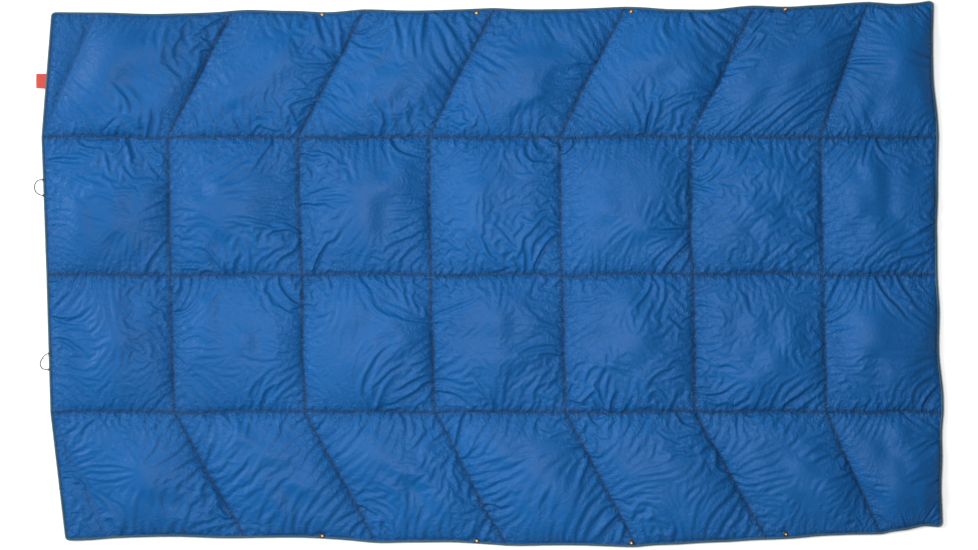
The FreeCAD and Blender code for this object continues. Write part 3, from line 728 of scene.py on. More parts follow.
    def corner_lines(self, plan: Plan, across: int, up: int) -> tuple[np.ndarray, ...]:
        """Points of the corner seams, as the four mesh points round each and their shares.

        Args:
            plan: where the corner seams are.
            across: mesh squares along X in a chamber.
            up: mesh squares along Y in a chamber.

        Returns:
            Rows, columns and shares, each 4 by the number of points.
        """
        number = np.concatenate([plan.corner_seam(half, up * 2) for half in Half])
        row, column = np.clip(number[:, 0] * up, 0, ROWS * up - 1e-6), np.clip(number[:, 1] * across, 0, 1e9)
        i, j = row.astype(int), column.astype(int)
        a, b = row - i, column - j
        rows, columns = np.stack([i, i, i + 1, i + 1]), np.stack([j, j + 1, j, j + 1])
        share = np.stack([(1 - a) * (1 - b), (1 - a) * b, a * (1 - b), a * b])
        return rows, columns, share.astype(np.float32)

    def inflate(
        self,
        cloth: Weave,
        count: int,
        sewn: np.ndarray,
        held: list[np.ndarray],
        top: np.ndarray,
        corner: tuple[np.ndarray, ...],
        across: int,
    ) -> None:
        """Steps the cloth: momentum, filling, threads, then what is sewn.

        Args:
            cloth: the mesh.
            count: number of steps.
            sewn: marks the points that stay put.
            held: where those points are.
            top: height at which the filling stops pushing.
            corner: the corner seams, from corner_lines.
            across: mesh squares along X in a chamber.
        """
        push = np.float32(self.pressure * self.reference / across)
        rows, columns, share = corner
        last = [axis.copy() for axis in cloth.axes]
        for step in range(count):
            keep = np.float32(self.momentum[int(step >= self.calm_after * count)])
            for axis, before in zip(cloth.axes, last):
                speed = (axis - before) * keep
                before[...] = axis
                axis += speed
            force = push * np.clip((top - cloth.axes[2]) / np.float32(self.spring), -1, 1)
            for axis, part in zip(cloth.axes, cloth.normals()):
                axis += force * part
            cloth.settle(self.stiffness)
            for axis, place in zip(cloth.axes, held):
                axis[sewn] = place
            z = cloth.axes[2]
            miss = np.float32(self.seam_z) - np.sum(z[rows, columns] * share, axis=0)
            np.add.at(z, (rows, columns), share * miss)
            np.clip(z, *self.limits, out=z)


@dataclass
class Panels:
    """The two draped panels, and ways to read a place on them."""

    plan: Plan
    face: Drape = Drape(Layer.FACE, 6.5, 38, (0.036, 0.036, 0.037), (260, 160, 120), 0.06, (6.45, 44.5))
    lining: Drape = Drape(Layer.LINING, 5.5, -14, (0.022, 0.030), (160, 120), 0.04, (0.25, 5.55), seed=19)
    surface: dict[Layer, np.ndarray] = field(default_factory=dict)
    flat: dict[Layer, np.ndarray] = field(default_factory=dict)

    def drape(self) -> None:
        """Runs both simulations."""
        for drape in (self.face, self.lining):
            self.surface[drape.layer], self.flat[drape.layer] = drape.run(self.plan)

    def read(self, layer: Layer, number: np.ndarray, instead: np.ndarray | None = None) -> np.ndarray:
        """Points of a panel at row and column numbers, blended from the four mesh points round each.

        Args:
            layer: which panel.
            number: N by 2, in chambers from the near left corner.
            instead: a mesh to read in place of the panel's.

        Returns:
            N by 3.
        """
        grid = self.surface[layer] if instead is None else instead
        row = np.clip(number[:, 0] / ROWS, 0, 1) * (grid.shape[0] - 1)
        column = np.clip(number[:, 1] / COLUMNS, 0, 1) * (grid.shape[1] - 1)
        i, j = (np.minimum(a.astype(int), n - 2) for a, n in ((row, grid.shape[0]), (column, grid.shape[1])))
        a, b = (row - i)[:, None], (column - j)[:, None]
        low = grid[i, j] * (1 - b) + grid[i, j + 1] * b
        high = grid[i + 1, j] * (1 - b) + grid[i + 1, j + 1] * b
        return low * (1 - a) + high * a

    def seam_closeness(self, layer: Layer, reach: float) -> tuple[np.ndarray, np.ndarray]:
        """How close each point is to a row line and to a column line, from 0 to 1 at the line.

        closeness = exp(-distance / reach), the distance taken along the patch.

        Args:
            layer: which panel.
            reach: distance at which closeness has fallen to 0.37.

        Returns:
            Closeness to a row line, and to a column line.
        """
        shape = self.surface[layer].shape[:2]
        v, u = np.linspace(0, ROWS, shape[0]), np.linspace(0, COLUMNS, shape[1])
        row = np.abs(v - np.round(v)) * ROW_PITCH
        column = np.abs(u - np.round(u)) * COLUMN_PITCH
        return (np.broadcast_to(np.exp(-row / reach)[:, None], shape),
                np.broadcast_to(np.exp(-column / reach)[None, :], shape))


# ---------------------------------------------------------------- materials


@dataclass
class Wiring:
    """Adds nodes to a node tree and joins their sockets."""

    tree: bpy.types.NodeTree

    def node(self, kind: str, inputs: dict | None = None, **settings: object) -> bpy.types.Node:
        """Adds a node.

        Args:
            kind: the node's type.
            inputs: values or sockets for its inputs, by name or number.
            settings: its other properties.

        Returns:
            The node.
        """
        made = self.tree.nodes.new(kind)
        for key, value in settings.items():
            setattr(made, key, value)
        self.feed(made, inputs or {})
        return made

    def feed(self, node: bpy.types.Node, inputs: dict) -> None:
        """Joins sockets to a node's inputs, or sets values on them.

        Args:
            node: whose inputs they are.
            inputs: a socket or a value for each input, by its name or number.
        """
        for key, value in inputs.items():
            if isinstance(value, bpy.types.NodeSocket):
                self.tree.links.new(value, node.inputs[key])
            else:
                node.inputs[key].default_value = value

    def use(self, group: bpy.types.NodeTree, place: bpy.types.NodeSocket, **values: float) -> bpy.types.Node:
        """A shared effect at a place, with its own values."""
        return self.node("ShaderNodeGroup", {"Place": place, **values}, node_tree=group)

    def bump(self, height: bpy.types.NodeSocket, distance: float, **inputs: object) -> bpy.types.NodeSocket:
        """The normal of a surface bumped by height; inputs may give Strength and Normal."""
        return self.node("ShaderNodeBump", {"Height": height, "Distance": distance, **inputs}).outputs[0]

    def math(self, operation: str, *values: object, clamp: bool = False) -> bpy.types.NodeSocket:
        """The result of a math node on values or sockets."""
        made = self.node("ShaderNodeMath", dict(enumerate(values)), operation=operation, use_clamp=clamp)
        return made.outputs[0]

    def ramp(
        self, factor: bpy.types.NodeSocket, start: float, end: float, low: float = 0.3, high: float = 0.7
    ) -> bpy.types.NodeSocket:
        """factor from low to high mapped smoothly to start to end."""
        inputs = {"Value": factor, "From Min": low, "From Max": high, "To Min": start, "To Max": end}
        return self.node("ShaderNodeMapRange", inputs, interpolation_type="SMOOTHSTEP").outputs[0]

    def mix(self, factor: object, first: object, second: object) -> bpy.types.NodeSocket:
        """Two colours mixed by factor."""
        return self.node("ShaderNodeMix", {0: factor, 6: first, 7: second}, data_type="RGBA").outputs[2]


def effect_group(
    name: str, inputs: dict[str, float | None], outputs: tuple[str, ...]
) -> tuple[bpy.types.NodeTree, Wiring]:
    """An empty node group.

    Args:
        name: the group's name.
        inputs: the default value of each input that is a number, and None for a vector.
        outputs: names of its outputs, all numbers.

    Returns:
        The group, and the wiring for its nodes.
    """
    group = bpy.data.node_groups.new(name, "ShaderNodeTree")
    for key, value in inputs.items():
        kind = "NodeSocketVector" if value is None else "NodeSocketFloat"
        socket = group.interface.new_socket(key, in_out="INPUT", socket_type=kind)
        if value is not None:
            socket.default_value = value
    for key in outputs:
        group.interface.new_socket(key, in_out="OUTPUT", socket_type="NodeSocketFloat")
    return group, Wiring(group)


@dataclass
class Effects:
    """Node groups that several finishes share, each built once."""

    weave: bpy.types.NodeTree = field(init=False)
    crumple: bpy.types.NodeTree = field(init=False)
    grain: bpy.types.NodeTree = field(init=False)

    def __post_init__(self) -> None:
        """Builds the groups."""
        self.weave = self.build_weave()
        self.crumple = self.build_crumple()
        self.grain = self.build_grain()

    @staticmethod
    def build_weave() -> bpy.types.NodeTree:
        """Threads over and under: height = 0.5 + 0.5 sin(pitch u) sin(pitch v).

        Returns:
            The group.
        """
        group, wire = effect_group("plain_weave", {"Place": None, "Pitch": 2000.0}, ("Height",))
        start, end = wire.node("NodeGroupInput"), wire.node("NodeGroupOutput")
        split = wire.node("ShaderNodeSeparateXYZ", {0: start.outputs["Place"]})
        turns = (wire.math("MULTIPLY", split.outputs[i], start.outputs["Pitch"]) for i in (0, 1))
        waves = [wire.math("SINE", turn) for turn in turns]
        height = wire.math("MULTIPLY_ADD", wire.math("MULTIPLY", *waves), 0.5, 0.5)
        group.links.new(height, end.inputs["Height"])
        return group

    @staticmethod
    def build_crumple() -> bpy.types.NodeTree:
        """Sharp little creases: one less the distance of a noise from its middle, to a power.

        Returns:
            The group.
        """
        inputs = {"Place": None, "Scale": 30.0, "Sharpness": 6.0}
        group, wire = effect_group("crumple", inputs, ("Height",))
        start, end = wire.node("NodeGroupInput"), wire.node("NodeGroupOutput")
        noise = wire.node("ShaderNodeTexNoise", {
            "Vector": start.outputs["Place"], "Scale": start.outputs["Scale"],
            "Detail": 3.0, "Roughness": 0.55, "Distortion": 0.6})
        away = wire.math("ABSOLUTE", wire.math("MULTIPLY_ADD", noise.outputs[0], 4.0, -2.0))
        ridge = wire.math("POWER", wire.math("SUBTRACT", 1.0, away, clamp=True), start.outputs["Sharpness"])
        group.links.new(ridge, end.inputs["Height"])
        return group

    @staticmethod
    def build_grain() -> bpy.types.NodeTree:
        """Uneven tone and fine grain from two noises.

        Returns:
            The group.
        """
        group, wire = effect_group("grain", {"Place": None, "Broad": 4.0, "Fine": 400.0}, ("Tone", "Height"))
        start, end = wire.node("NodeGroupInput"), wire.node("NodeGroupOutput")
        for scale, name in (("Broad", "Tone"), ("Fine", "Height")):
            inputs = {"Vector": start.outputs["Place"], "Scale": start.outputs[scale], "Detail": 2.0}
            noise = wire.node("ShaderNodeTexNoise", inputs)
            group.links.new(noise.outputs[0], end.inputs[name])
        return group


Colour = tuple[float, float, float]


def rgba(colour: Colour, gain: float = 1.0) -> tuple[float, float, float, float]:
    """A colour with full alpha, brightened by gain."""
    return (*(min(1.0, part * gain) for part in colour), 1.0)


@dataclass(frozen=True)
class Finish:
    """What every finish has: a name, a colour and a roughness."""

    name: str
    colour: Colour
    roughness: float

    def base(self) -> tuple[bpy.types.Material, Wiring, bpy.types.Node]:
        """A material with a Principled shader on its output.

        Returns:
            The material, the wiring for its nodes, and the shader.
        """
        material = bpy.data.materials.new(self.name)
        material.use_nodes = True
        material.node_tree.nodes.clear()
        wire = Wiring(material.node_tree)
        values = {"Base Color": rgba(self.colour), "Roughness": self.roughness}
        shader = wire.node("ShaderNodeBsdfPrincipled", values)
        wire.node("ShaderNodeOutputMaterial", {"Surface": shader.outputs[0]})
        material.diffuse_color = rgba(self.colour)
        return material, wire, shader


@dataclass(frozen=True)
class NylonFinish(Finish):
    """Thin plain-woven nylon: fine weave, small crumples, gathers that run out from the seams, and painted
    shade along the seam lines.
    """

    # shade is the colour of the painted shade along the seams, and also the darker end of the random tone.
    shade: Colour = (0.01, 0.05, 0.15)
    crumple_depth: float = 0.0014
    gather_depth: float = 0.003
    sheen: float = 0.02
    specular: float = 0.17

    def material(self, effects: Effects) -> bpy.types.Material:
        """Builds the material.

        Args:
            effects: the shared groups.

        Returns:
            The material; it reads the map called cloth and the attributes row_seam and column_seam.
        """
        material, wire, shader = self.base()
        place = wire.node("ShaderNodeUVMap", uv_map="cloth").outputs[0]
        near = [wire.node("ShaderNodeAttribute", attribute_name=name).outputs["Fac"]
                for name in ("row_seam", "column_seam")]
        weave = wire.use(effects.weave, place, Pitch=9000.0)
        normal = wire.bump(weave.outputs[0], 0.00005, Strength=0.25)
        crumple = wire.use(effects.crumple, place, Scale=24.0, Sharpness=4.0)
        fine = wire.use(effects.crumple, place, Scale=85.0, Sharpness=2.5)
        seam = wire.math("MAXIMUM", *near)
        share = wire.math("MULTIPLY_ADD", seam, 0.9, 0.18)
        creases = wire.math("MULTIPLY", wire.math("ADD", fine.outputs[0], crumple.outputs[0]), share)
        normal, gathers = wire.bump(creases, self.crumple_depth, Normal=normal), []
        for mask, stretch in zip(near, ((110.0, 16.0, 1.0), (16.0, 110.0, 1.0))):
            mapped = wire.node("ShaderNodeMapping", {"Vector": place, "Scale": stretch})
            noise = wire.node("ShaderNodeTexNoise", {"Vector": mapped.outputs[0], "Scale": 1.0, "Detail": 3.0,
                                                     "Distortion": 0.5})
            gathers.append(wire.math("MULTIPLY", noise.outputs[0], wire.math("POWER", mask, 1.5)))
        normal = wire.bump(wire.math("ADD", *gathers), self.gather_depth, Normal=normal)
        tone = wire.use(effects.grain, place, Broad=3.0, Fine=900.0)
        worn = wire.ramp(tone.outputs["Tone"], 0.0, 0.16)
        # Painted shade: near the seam lines the colour is mixed towards shade, standing in for the shade in
        # the seam valleys; worn adds random broad tone on top.
        seam_shade_and_tone = wire.math("MULTIPLY_ADD", wire.math("POWER", seam, 9.0), 0.85, worn, clamp=True)
        colour = wire.mix(seam_shade_and_tone, rgba(self.colour), rgba(self.shade))
        rough = wire.ramp(tone.outputs["Height"], self.roughness - 0.05, self.roughness + 0.06)
        wire.feed(shader, {
            "Base Color": colour, "Roughness": rough, "Normal": normal, "Sheen Weight": self.sheen,
            "Sheen Roughness": 0.4, "Specular IOR Level": self.specular})
        return material


@dataclass(frozen=True)
class TapeFinish(Finish):
    """Woven tape, ribbon or thread: ribs across the piece's own map, with painted shade in the hollows between
    the ribs.
    """

    ribs: float = 2600.0
    depth: float = 0.0002
    # shade_gain sets the colour of the painted shade in the rib hollows, as a share of the colour.
    shade_gain: float = 0.55

    def material(self, effects: Effects) -> bpy.types.Material:
        """Builds the material; it reads the map called cloth.

        Args:
            effects: the shared groups.

        Returns:
            The material.
        """
        material, wire, shader = self.base()
        place = wire.node("ShaderNodeUVMap", uv_map="cloth").outputs[0]
        weave = wire.use(effects.weave, place, Pitch=self.ribs)
        tone = wire.use(effects.grain, place, Broad=25.0, Fine=1500.0)
        low = wire.math("SUBTRACT", 1.0, weave.outputs[0])
        # Painted shade: the hollows between the ribs are darkened towards shade_gain of the colour, more or
        # less with the random tone.
        rib_hollow_shade = wire.math("MULTIPLY", low, tone.outputs["Tone"], clamp=True)
        colour = wire.mix(rib_hollow_shade, rgba(self.colour), rgba(self.colour, self.shade_gain))
        rough = wire.ramp(tone.outputs["Height"], self.roughness - 0.06, self.roughness + 0.06)
        normal = wire.bump(weave.outputs[0], self.depth, Strength=0.6)
        wire.feed(shader, {"Base Color": colour, "Roughness": rough, "Normal": normal, "Sheen Weight": 0.3})
        return material


@dataclass(frozen=True)
class FibreFinish(Finish):
    """Loose white wadding: tangled strands and soft lumps, on Object coordinates."""

    def material(self, effects: Effects) -> bpy.types.Material:
        """Builds the material.

        Args:
            effects: the shared groups.

        Returns:
            The material.
        """
        material, wire, shader = self.base()
        place = wire.node("ShaderNodeTexCoord").outputs["Object"]
        strands = wire.use(effects.crumple, place, Scale=260.0, Sharpness=3.0)
        tone = wire.use(effects.grain, place, Broad=40.0, Fine=1200.0)
        colour = wire.mix(tone.outputs["Tone"], rgba(self.colour), rgba(self.colour, 0.86))
        normal = wire.bump(strands.outputs[0], 0.001)
        wire.feed(shader, {"Base Color": colour, "Normal": normal, "Sheen Weight": 0.5})
        return material


@dataclass(frozen=True)
class MetalFinish(Finish):
    """Plated metal, dulled in patches and rubbed bright on edges, on Object coordinates.

    It is bare brass where the attribute brass is 1.
    """

    bright: Colour = (0.5, 0.36, 0.2)
    brass: Colour = (0.55, 0.31, 0.13)
    wear: float = 0.5

    def material(self, effects: Effects) -> bpy.types.Material:
        """Builds the material.

        Args:
            effects: the shared groups.

        Returns:
            The material.
        """
        material, wire, shader = self.base()
        place = wire.node("ShaderNodeTexCoord").outputs["Object"]
        tone = wire.use(effects.grain, place, Broad=350.0, Fine=4000.0)
        edge = wire.ramp(wire.node("ShaderNodeNewGeometry").outputs["Pointiness"], 0.0, 1.0, 0.5, 0.58)
        patchy = wire.math("MULTIPLY", edge, tone.outputs["Tone"])
        rubbed = wire.math("MULTIPLY", patchy, self.wear, clamp=True)
        plated = wire.mix(rubbed, rgba(self.colour), rgba(self.bright))
        bare = wire.node("ShaderNodeAttribute", attribute_name="brass").outputs["Fac"]
        colour = wire.mix(bare, plated, rgba(self.brass))
        rough = wire.ramp(tone.outputs["Tone"], self.roughness, self.roughness + 0.14)
        normal = wire.bump(tone.outputs["Height"], 0.0001, Strength=0.15)
        wire.feed(shader, {"Base Color": colour, "Roughness": rough, "Normal": normal, "Metallic": 1.0})
        return material


@dataclass(frozen=True)
class Bend:
    """Where a piece turns from one body to the next: body a before start and body b after end. These values
    are only kept, not used.
    """

    a: str
    b: str
    start: tuple[float, float, float]
    end: tuple[float, float, float]


FOLD = Bend("near_half", "far_half", (0, -0.04, 0.006), (0, 0.04, 0.006))
TAB_FOOT = Bend("far_half", "tab", (-0.9995, 0.436, 0.006), (-1.005, 0.436, 0.006))


@dataclass
class Palette:
    """Every material of the quilt, by its slot."""

    effects: Effects = field(default_factory=Effects)
    made: dict[str, bpy.types.Material] = field(default_factory=dict)

    def __post_init__(self) -> None:
        """Builds the materials."""
        finishes = {
            "face_fabric": NylonFinish("face_nylon", (0.001, 0.0715, 0.236), 0.5, (0.0, 0.021, 0.076)),
            "lining_fabric": NylonFinish("lining_nylon", (0.012, 0.05, 0.065), 0.5, (0.004, 0.02, 0.03)),
            "filling": FibreFinish("wadding", (0.86, 0.86, 0.84), 0.9),
            "binding_tape": TapeFinish("binding_tape", (0.006, 0.06, 0.09), 0.65),
            # The thread is darker than the cloth partly as painted shade, for the shade in the sunk stitch
            # lines, and partly as the thread's own navy colour.
            "stitching": TapeFinish("thread", (0.002, 0.025, 0.08), 0.6, 9000.0, 0.00005),
            "snap_metal": MetalFinish("gunmetal", (0.05, 0.05, 0.055), 0.32),
            "snap_spring": MetalFinish("spring_brass", (0.55, 0.36, 0.16), 0.25, (0.8, 0.6, 0.3)),
            "tab_cloth": TapeFinish("tab_ribbon", (0.44, 0.028, 0.016), 0.6, 4200.0, 0.00012, 0.7),
            "cord": TapeFinish("cord_braid", (0.012, 0.009, 0.008), 0.6, 3000.0, 0.0003),
        }
        for slot, finish in finishes.items():
            self.made[slot] = finish.material(self.effects)

    def dress(self, thing: bpy.types.Object, slot: str, body: str | Bend, *nodes: str) -> bpy.types.Object:
        """Gives a piece its material, attaches it to its CAD body, or bakes its transform in where it bends
        between two, and hides the CAD nodes that it stands for.

        Args:
            thing: the piece.
            slot: its material slot.
            body: the CAD body that it rides on, or how it bends between two, of which only the kind is read.
            nodes: the CAD nodes that it replaces.

        Returns:
            The piece.
        """
        thing.data.materials.append(self.made[slot])
        if isinstance(body, Bend):
            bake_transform(thing)
        else:
            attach(thing, body)
        if nodes:
            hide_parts(*nodes)
        LOG.info("%s: %d faces", thing.name, len(thing.data.polygons))
        return thing


# ---------------------------------------------------------------- the quilt's pieces


@dataclass
class Shell:
    """The face and lining panels, each one continuous cloth across the fold line."""

    panels: Panels
    palette: Palette
    seam_reach: float = 40.0
    fill: float = 0.55

    def build(self) -> None:
        """Makes both panels from their simulated grids, faces outwards."""
        for layer, word in ((Layer.FACE, "face_fabric"), (Layer.LINING, "lining_fabric")):
            grid, flat = self.panels.surface[layer], self.panels.flat[layer]
            faces = grid_faces(*grid.shape[:2])
            row, column = self.panels.seam_closeness(layer, self.seam_reach)
            if layer is Layer.LINING:
                faces = faces[:, ::-1]
            thing = make_object(f"{word}_panel", grid.reshape(-1, 3), faces, flat.reshape(-1, 2) * MM,
                                {"row_seam": row.ravel(), "column_seam": column.ravel()})
            self.palette.dress(thing, word, FOLD, f"{word}_near", f"{word}_far")


@dataclass
class Filling:
    """The wadding in each chamber: a soft pad held inside the two panels."""

    panels: Panels
    palette: Palette
    steps: int = 22
    fold_steps: int = 66
    inset: float = 0.035
    fold_inset: float = 0.07
    fullness: float = 0.82
    fill: float = 0.7
    shelter: dict[Layer, np.ndarray] = field(default_factory=dict)

    def corners(self, half: Half, row: int, column: int, outer: bool) -> list[tuple[str, np.ndarray]]:
        """Names and corner numbers (four, anticlockwise) of the pads in one chamber patch.

        The left patch of an outer row holds two pads, one on each side of the corner seam.

        Args:
            half: which half.
            row: the patch's row.
            column: the patch's column.
            outer: whether it is a row along a long hem.

        Returns:
            A CAD node's name and 4 by 2 numbers for each pad.
        """
        number = np.array([[row, column], [row, column + 1], [row + 1, column + 1], [row + 1, column]], float)
        word = f"fill_{half.word}_{'outer' if outer else 'inner'}_"
        if not outer:
            return [(f"{word}{column + 1}", number)]
        if column:
            return [(f"{word}{column + 2}", number)]
        tip = self.panels.plan.corner_seam(half, 2)[1]
        small = np.stack([number[0], tip, number[3], number[3] * 0.5 + number[0] * 0.5])
        number[3 if half is Half.FAR else 0] = tip
        return [(f"{word}1", small), (f"{word}2", number)]

    def pad(self, corner: np.ndarray, row: int) -> tuple[np.ndarray, np.ndarray]:
        """One pad: a patch on top and one below, which meet along its edge.

        Beside the fold it keeps further from the row line, and is finer so that it can bend.

        With u and v from 0 to 1 over the pad, swell = (1 - (2u-1)^6)(1 - (2v-1)^6). Height over the seam
        plane is the panel's, times fullness, times swell, and X and Y go from midway between the panels
        to the panel's own with swell, so that the two patches meet at the border.

        Args:
            corner: four row and column numbers, anticlockwise.
            row: the chamber's row.

        Returns:
            Points and quads.
        """
        low, high = (self.fold_inset if row == beside else self.inset for beside in (2, 1))
        along = np.linspace(self.inset, 1 - self.inset, self.steps)
        up = np.linspace(low, 1 - high, self.fold_steps if row in (1, 2) else self.steps)
        s, t = (a.ravel() for a in np.meshgrid(along, up))
        share = np.stack([(1 - s) * (1 - t), s * (1 - t), s * t, (1 - s) * t], axis=1)
        number = share @ corner
        u, v = (s - self.inset) / (1 - 2 * self.inset), (t - low) / (1 - high - low)
        swell = (1 - (2 * u - 1) ** 6) * (1 - (2 * v - 1) ** 6) * self.fullness
        top, under = (self.panels.read(layer, number, self.sheltered(layer))
                      for layer in (Layer.FACE, Layer.LINING))
        middle, seam = (top[:, :2] + under[:, :2]) / 2, self.panels.plan.seam_height
        for points in (top, under):
            points[:, :2] = middle + (points[:, :2] - middle) * (swell / self.fullness)[:, None]
            points[:, 2] = seam + (points[:, 2] - seam) * swell
        faces = grid_faces(len(up), len(along))
        return joined([(top, faces), (under, faces[:, ::-1])])

    def sheltered(self, layer: Layer) -> np.ndarray:
        """A panel's mesh, each height taken from the neighbour nearest the seam plane.

        Args:
            layer: which panel.

        Returns:
            Rows by columns by 3.
        """
        if layer not in self.shelter:
            grid = self.panels.surface[layer].copy()
            pick = np.minimum if layer is Layer.FACE else np.maximum
            for _ in range(4):
                for z in (grid[..., 2], grid[..., 2].T):
                    z[1:-1] = pick(pick(z[:-2], z[2:]), z[1:-1])
            self.shelter[layer] = grid
        return self.shelter[layer]

    def build(self) -> None:
        """Makes every pad; the pads of the outer rows are given to their half, and those beside the fold have
        their transform baked in.
        """
        for row in range(ROWS):
            half = Half.NEAR if row < ROWS / 2 else Half.FAR
            for column in range(COLUMNS):
                for name, corner in self.corners(half, row, column, row in (0, ROWS - 1)):
                    points, faces = self.pad(corner, row)
                    thing = make_object(f"{name}_pad", points, faces)
                    merge_doubles(thing)
                    self.palette.dress(thing, "filling", FOLD if row in (1, 2) else half.body, name)


def merge_doubles(thing: bpy.types.Object, distance: float = 1e-5) -> None:
    """Joins points of a mesh that lie together, and turns its faces outwards.

    Args:
        thing: the piece.
        distance: how near is together, in metres.
    """
    work = bmesh.new()
    work.from_mesh(thing.data)
    bmesh.ops.remove_doubles(work, verts=work.verts, dist=distance)
    bmesh.ops.recalc_face_normals(work, faces=work.faces)
    work.to_mesh(thing.data)
    work.free()


@dataclass
class Hem:
    """The folded tape over the hem, and the two rows of stitches that hold it."""

    panels: Panels
    palette: Palette
    width: float = 4.0
    ply: float = 0.6
    rise: float = 1.1
    stitch_z: tuple[float, float] = (7.35, 4.65)

    def line(self) -> np.ndarray:
        """The face panel's edge as a ring, anticlockwise from the near left corner.

        Returns:
            N by 3.
        """
        grid = self.panels.surface[Layer.FACE]
        ring = np.concatenate([grid[0, :-1], grid[:-1, -1], grid[-1, :0:-1], grid[:0:-1, 0]])
        ring[:, 2] = self.panels.plan.seam_height
        return ring

    def outward(self, ring: np.ndarray) -> np.ndarray:
        """Directions out of the quilt along the ring, smoothed so that corners turn softly.

        Args:
            ring: N by 3.

        Returns:
            N by 3, of unit length.
        """
        along = np.roll(ring, -2, axis=0) - np.roll(ring, 2, axis=0)
        along /= np.linalg.norm(along, axis=1, keepdims=True)
        out = np.stack([along[:, 1], -along[:, 0], np.zeros(len(ring))], axis=1)
        for _ in range(2):
            out = out + np.roll(out, 1, axis=0) + np.roll(out, -1, axis=0)
            out /= np.linalg.norm(out, axis=1, keepdims=True)
        return out

    def build(self) -> None:
        """Makes the tape, a folded section carried round the hem, and its two rows of stitches."""
        ring = self.line()
        out = self.outward(ring)
        up = np.broadcast_to(np.array([0.0, 0.0, 1.0]), ring.shape)
        w, r, e = self.width, self.rise, self.ply
        outer = [(-w, r), (-w * 0.5, r + 0.06), (-0.2, r), (e * 0.75, r * 0.6), (e, 0), (e * 0.75, -r * 0.6),
                 (-0.2, -r), (-w * 0.5, -r - 0.06), (-w, -r)]
        inner = [(-w, -r + 0.45), (-0.3, -r + 0.5), (0.05, 0), (-0.3, r - 0.5), (-w, r - 0.45)]
        count = len(outer + inner)
        profile = np.broadcast_to(np.array(outer + inner), (len(ring), count, 2)).copy()
        pucker = hill_noise(np.random.default_rng(5), (len(ring), 2), (len(ring) // 3, 1))[:, :1]
        profile[:, :, 1] *= 1 + 0.05 * pucker
        points = sweep(ring, profile, out, up)
        run = np.cumsum(np.linalg.norm(np.diff(ring, axis=0, prepend=ring[-1:]), axis=1))
        girth = np.cumsum(np.r_[0, np.linalg.norm(np.diff(profile[0], axis=0), axis=1)])
        uv = np.stack(np.broadcast_arrays(run[:, None], girth[None, :]), axis=-1).reshape(-1, 2) * MM
        faces = grid_faces(len(ring), count, wrap_rows=True, wrap_columns=True)
        tape = make_object("hem_tape", points.reshape(-1, 3), faces, uv)
        merge_doubles(tape, 1e-7)
        self.palette.dress(tape, "binding_tape", FOLD, "hem_binding_near", "hem_binding_far")
        inside = ring - out * self.width / 2
        for half in Half:
            keep = inside[:, 1] * half.value > 0.8
            start = int(np.argmax(keep & ~np.roll(keep, 1)))
            path = np.roll(inside, -start, axis=0)[: int(keep.sum())]
            stitch_piece(f"binding_stitches_{half.word}", [path], self.stitch_z, self.palette, FOLD,
                         f"binding_thread_{half.word}")


def stitches(
    path: np.ndarray, height: float, pitch: float = 4.2, radius: float = 0.36, gap: float = 0.7, sides: int = 5
) -> tuple[np.ndarray, np.ndarray]:
    """A row of separate stitches along a path, each a little spindle of seven rings.

    A stitch is pitch less gap long, and its radius at share s of that is radius * sqrt(sin(pi s)), so
    its end rings are points, for merge_doubles to close.

    Args:
        path: N by 3, in order; its own heights are not used.
        height: Z of the middle of the stitches.
        pitch: from one stitch to the next.
        radius: of the thread.
        gap: between two stitches.
        sides: of each ring.

    Returns:
        Points and quads.
    """
    length = np.r_[0, np.cumsum(np.linalg.norm(np.diff(path[:, :2], axis=0), axis=1))]
    count = max(1, int(length[-1] / pitch))
    start = (np.arange(count) * pitch + (length[-1] - count * pitch) / 2)[:, None]
    rings = np.array([0.0, 0.05, 0.25, 0.5, 0.75, 0.95, 1.0])
    at = start + gap / 2 + rings[None, :] * (pitch - gap)
    x, y = (np.interp(at, length, path[:, i]) for i in (0, 1))
    ahead = np.stack([x[:, -1] - x[:, 0], y[:, -1] - y[:, 0]], axis=1)
    ahead /= np.linalg.norm(ahead, axis=1, keepdims=True)
    swell = radius * np.sqrt(np.clip(np.sin(np.pi * rings), 0, None))
    swell[[0, -1]] = 0
    turn = np.linspace(0, 2 * np.pi, sides, endpoint=False)
    across, rise = np.cos(turn) * swell[:, None], np.sin(turn) * swell[:, None]
    points = np.stack([
        x[..., None] - ahead[:, 1, None, None] * across,
        y[..., None] + ahead[:, 0, None, None] * across,
        height + rise + np.zeros_like(x)[..., None],
    ], axis=-1)
    one, each = grid_faces(len(rings), sides, wrap_columns=True), len(rings) * sides
    faces = one[None] + each * np.arange(count)[:, None, None]
    return points.reshape(-1, 3), faces.reshape(-1, 4)


def stitch_piece(
    name: str,
    paths: list[np.ndarray],
    heights: tuple[float, float],
    palette: Palette,
    body: str | Bend,
    node: str,
) -> None:
    """One piece of all the stitches along some paths, on top and underneath.

    Args:
        name: the piece's name.
        paths: lines to stitch along.
        heights: Z of the needle thread on top and the bobbin thread underneath.
        palette: the materials.
        body: the CAD body that it rides on, or how it bends between two, of which only the kind is read.
        node: the CAD node it replaces.
    """
    points, faces = joined([stitches(path, height) for path in paths for height in heights])
    thing = make_object(name, points, faces, points[:, :2] * MM)
    merge_doubles(thing, 1e-7)
    palette.dress(thing, "stitching", body, node)


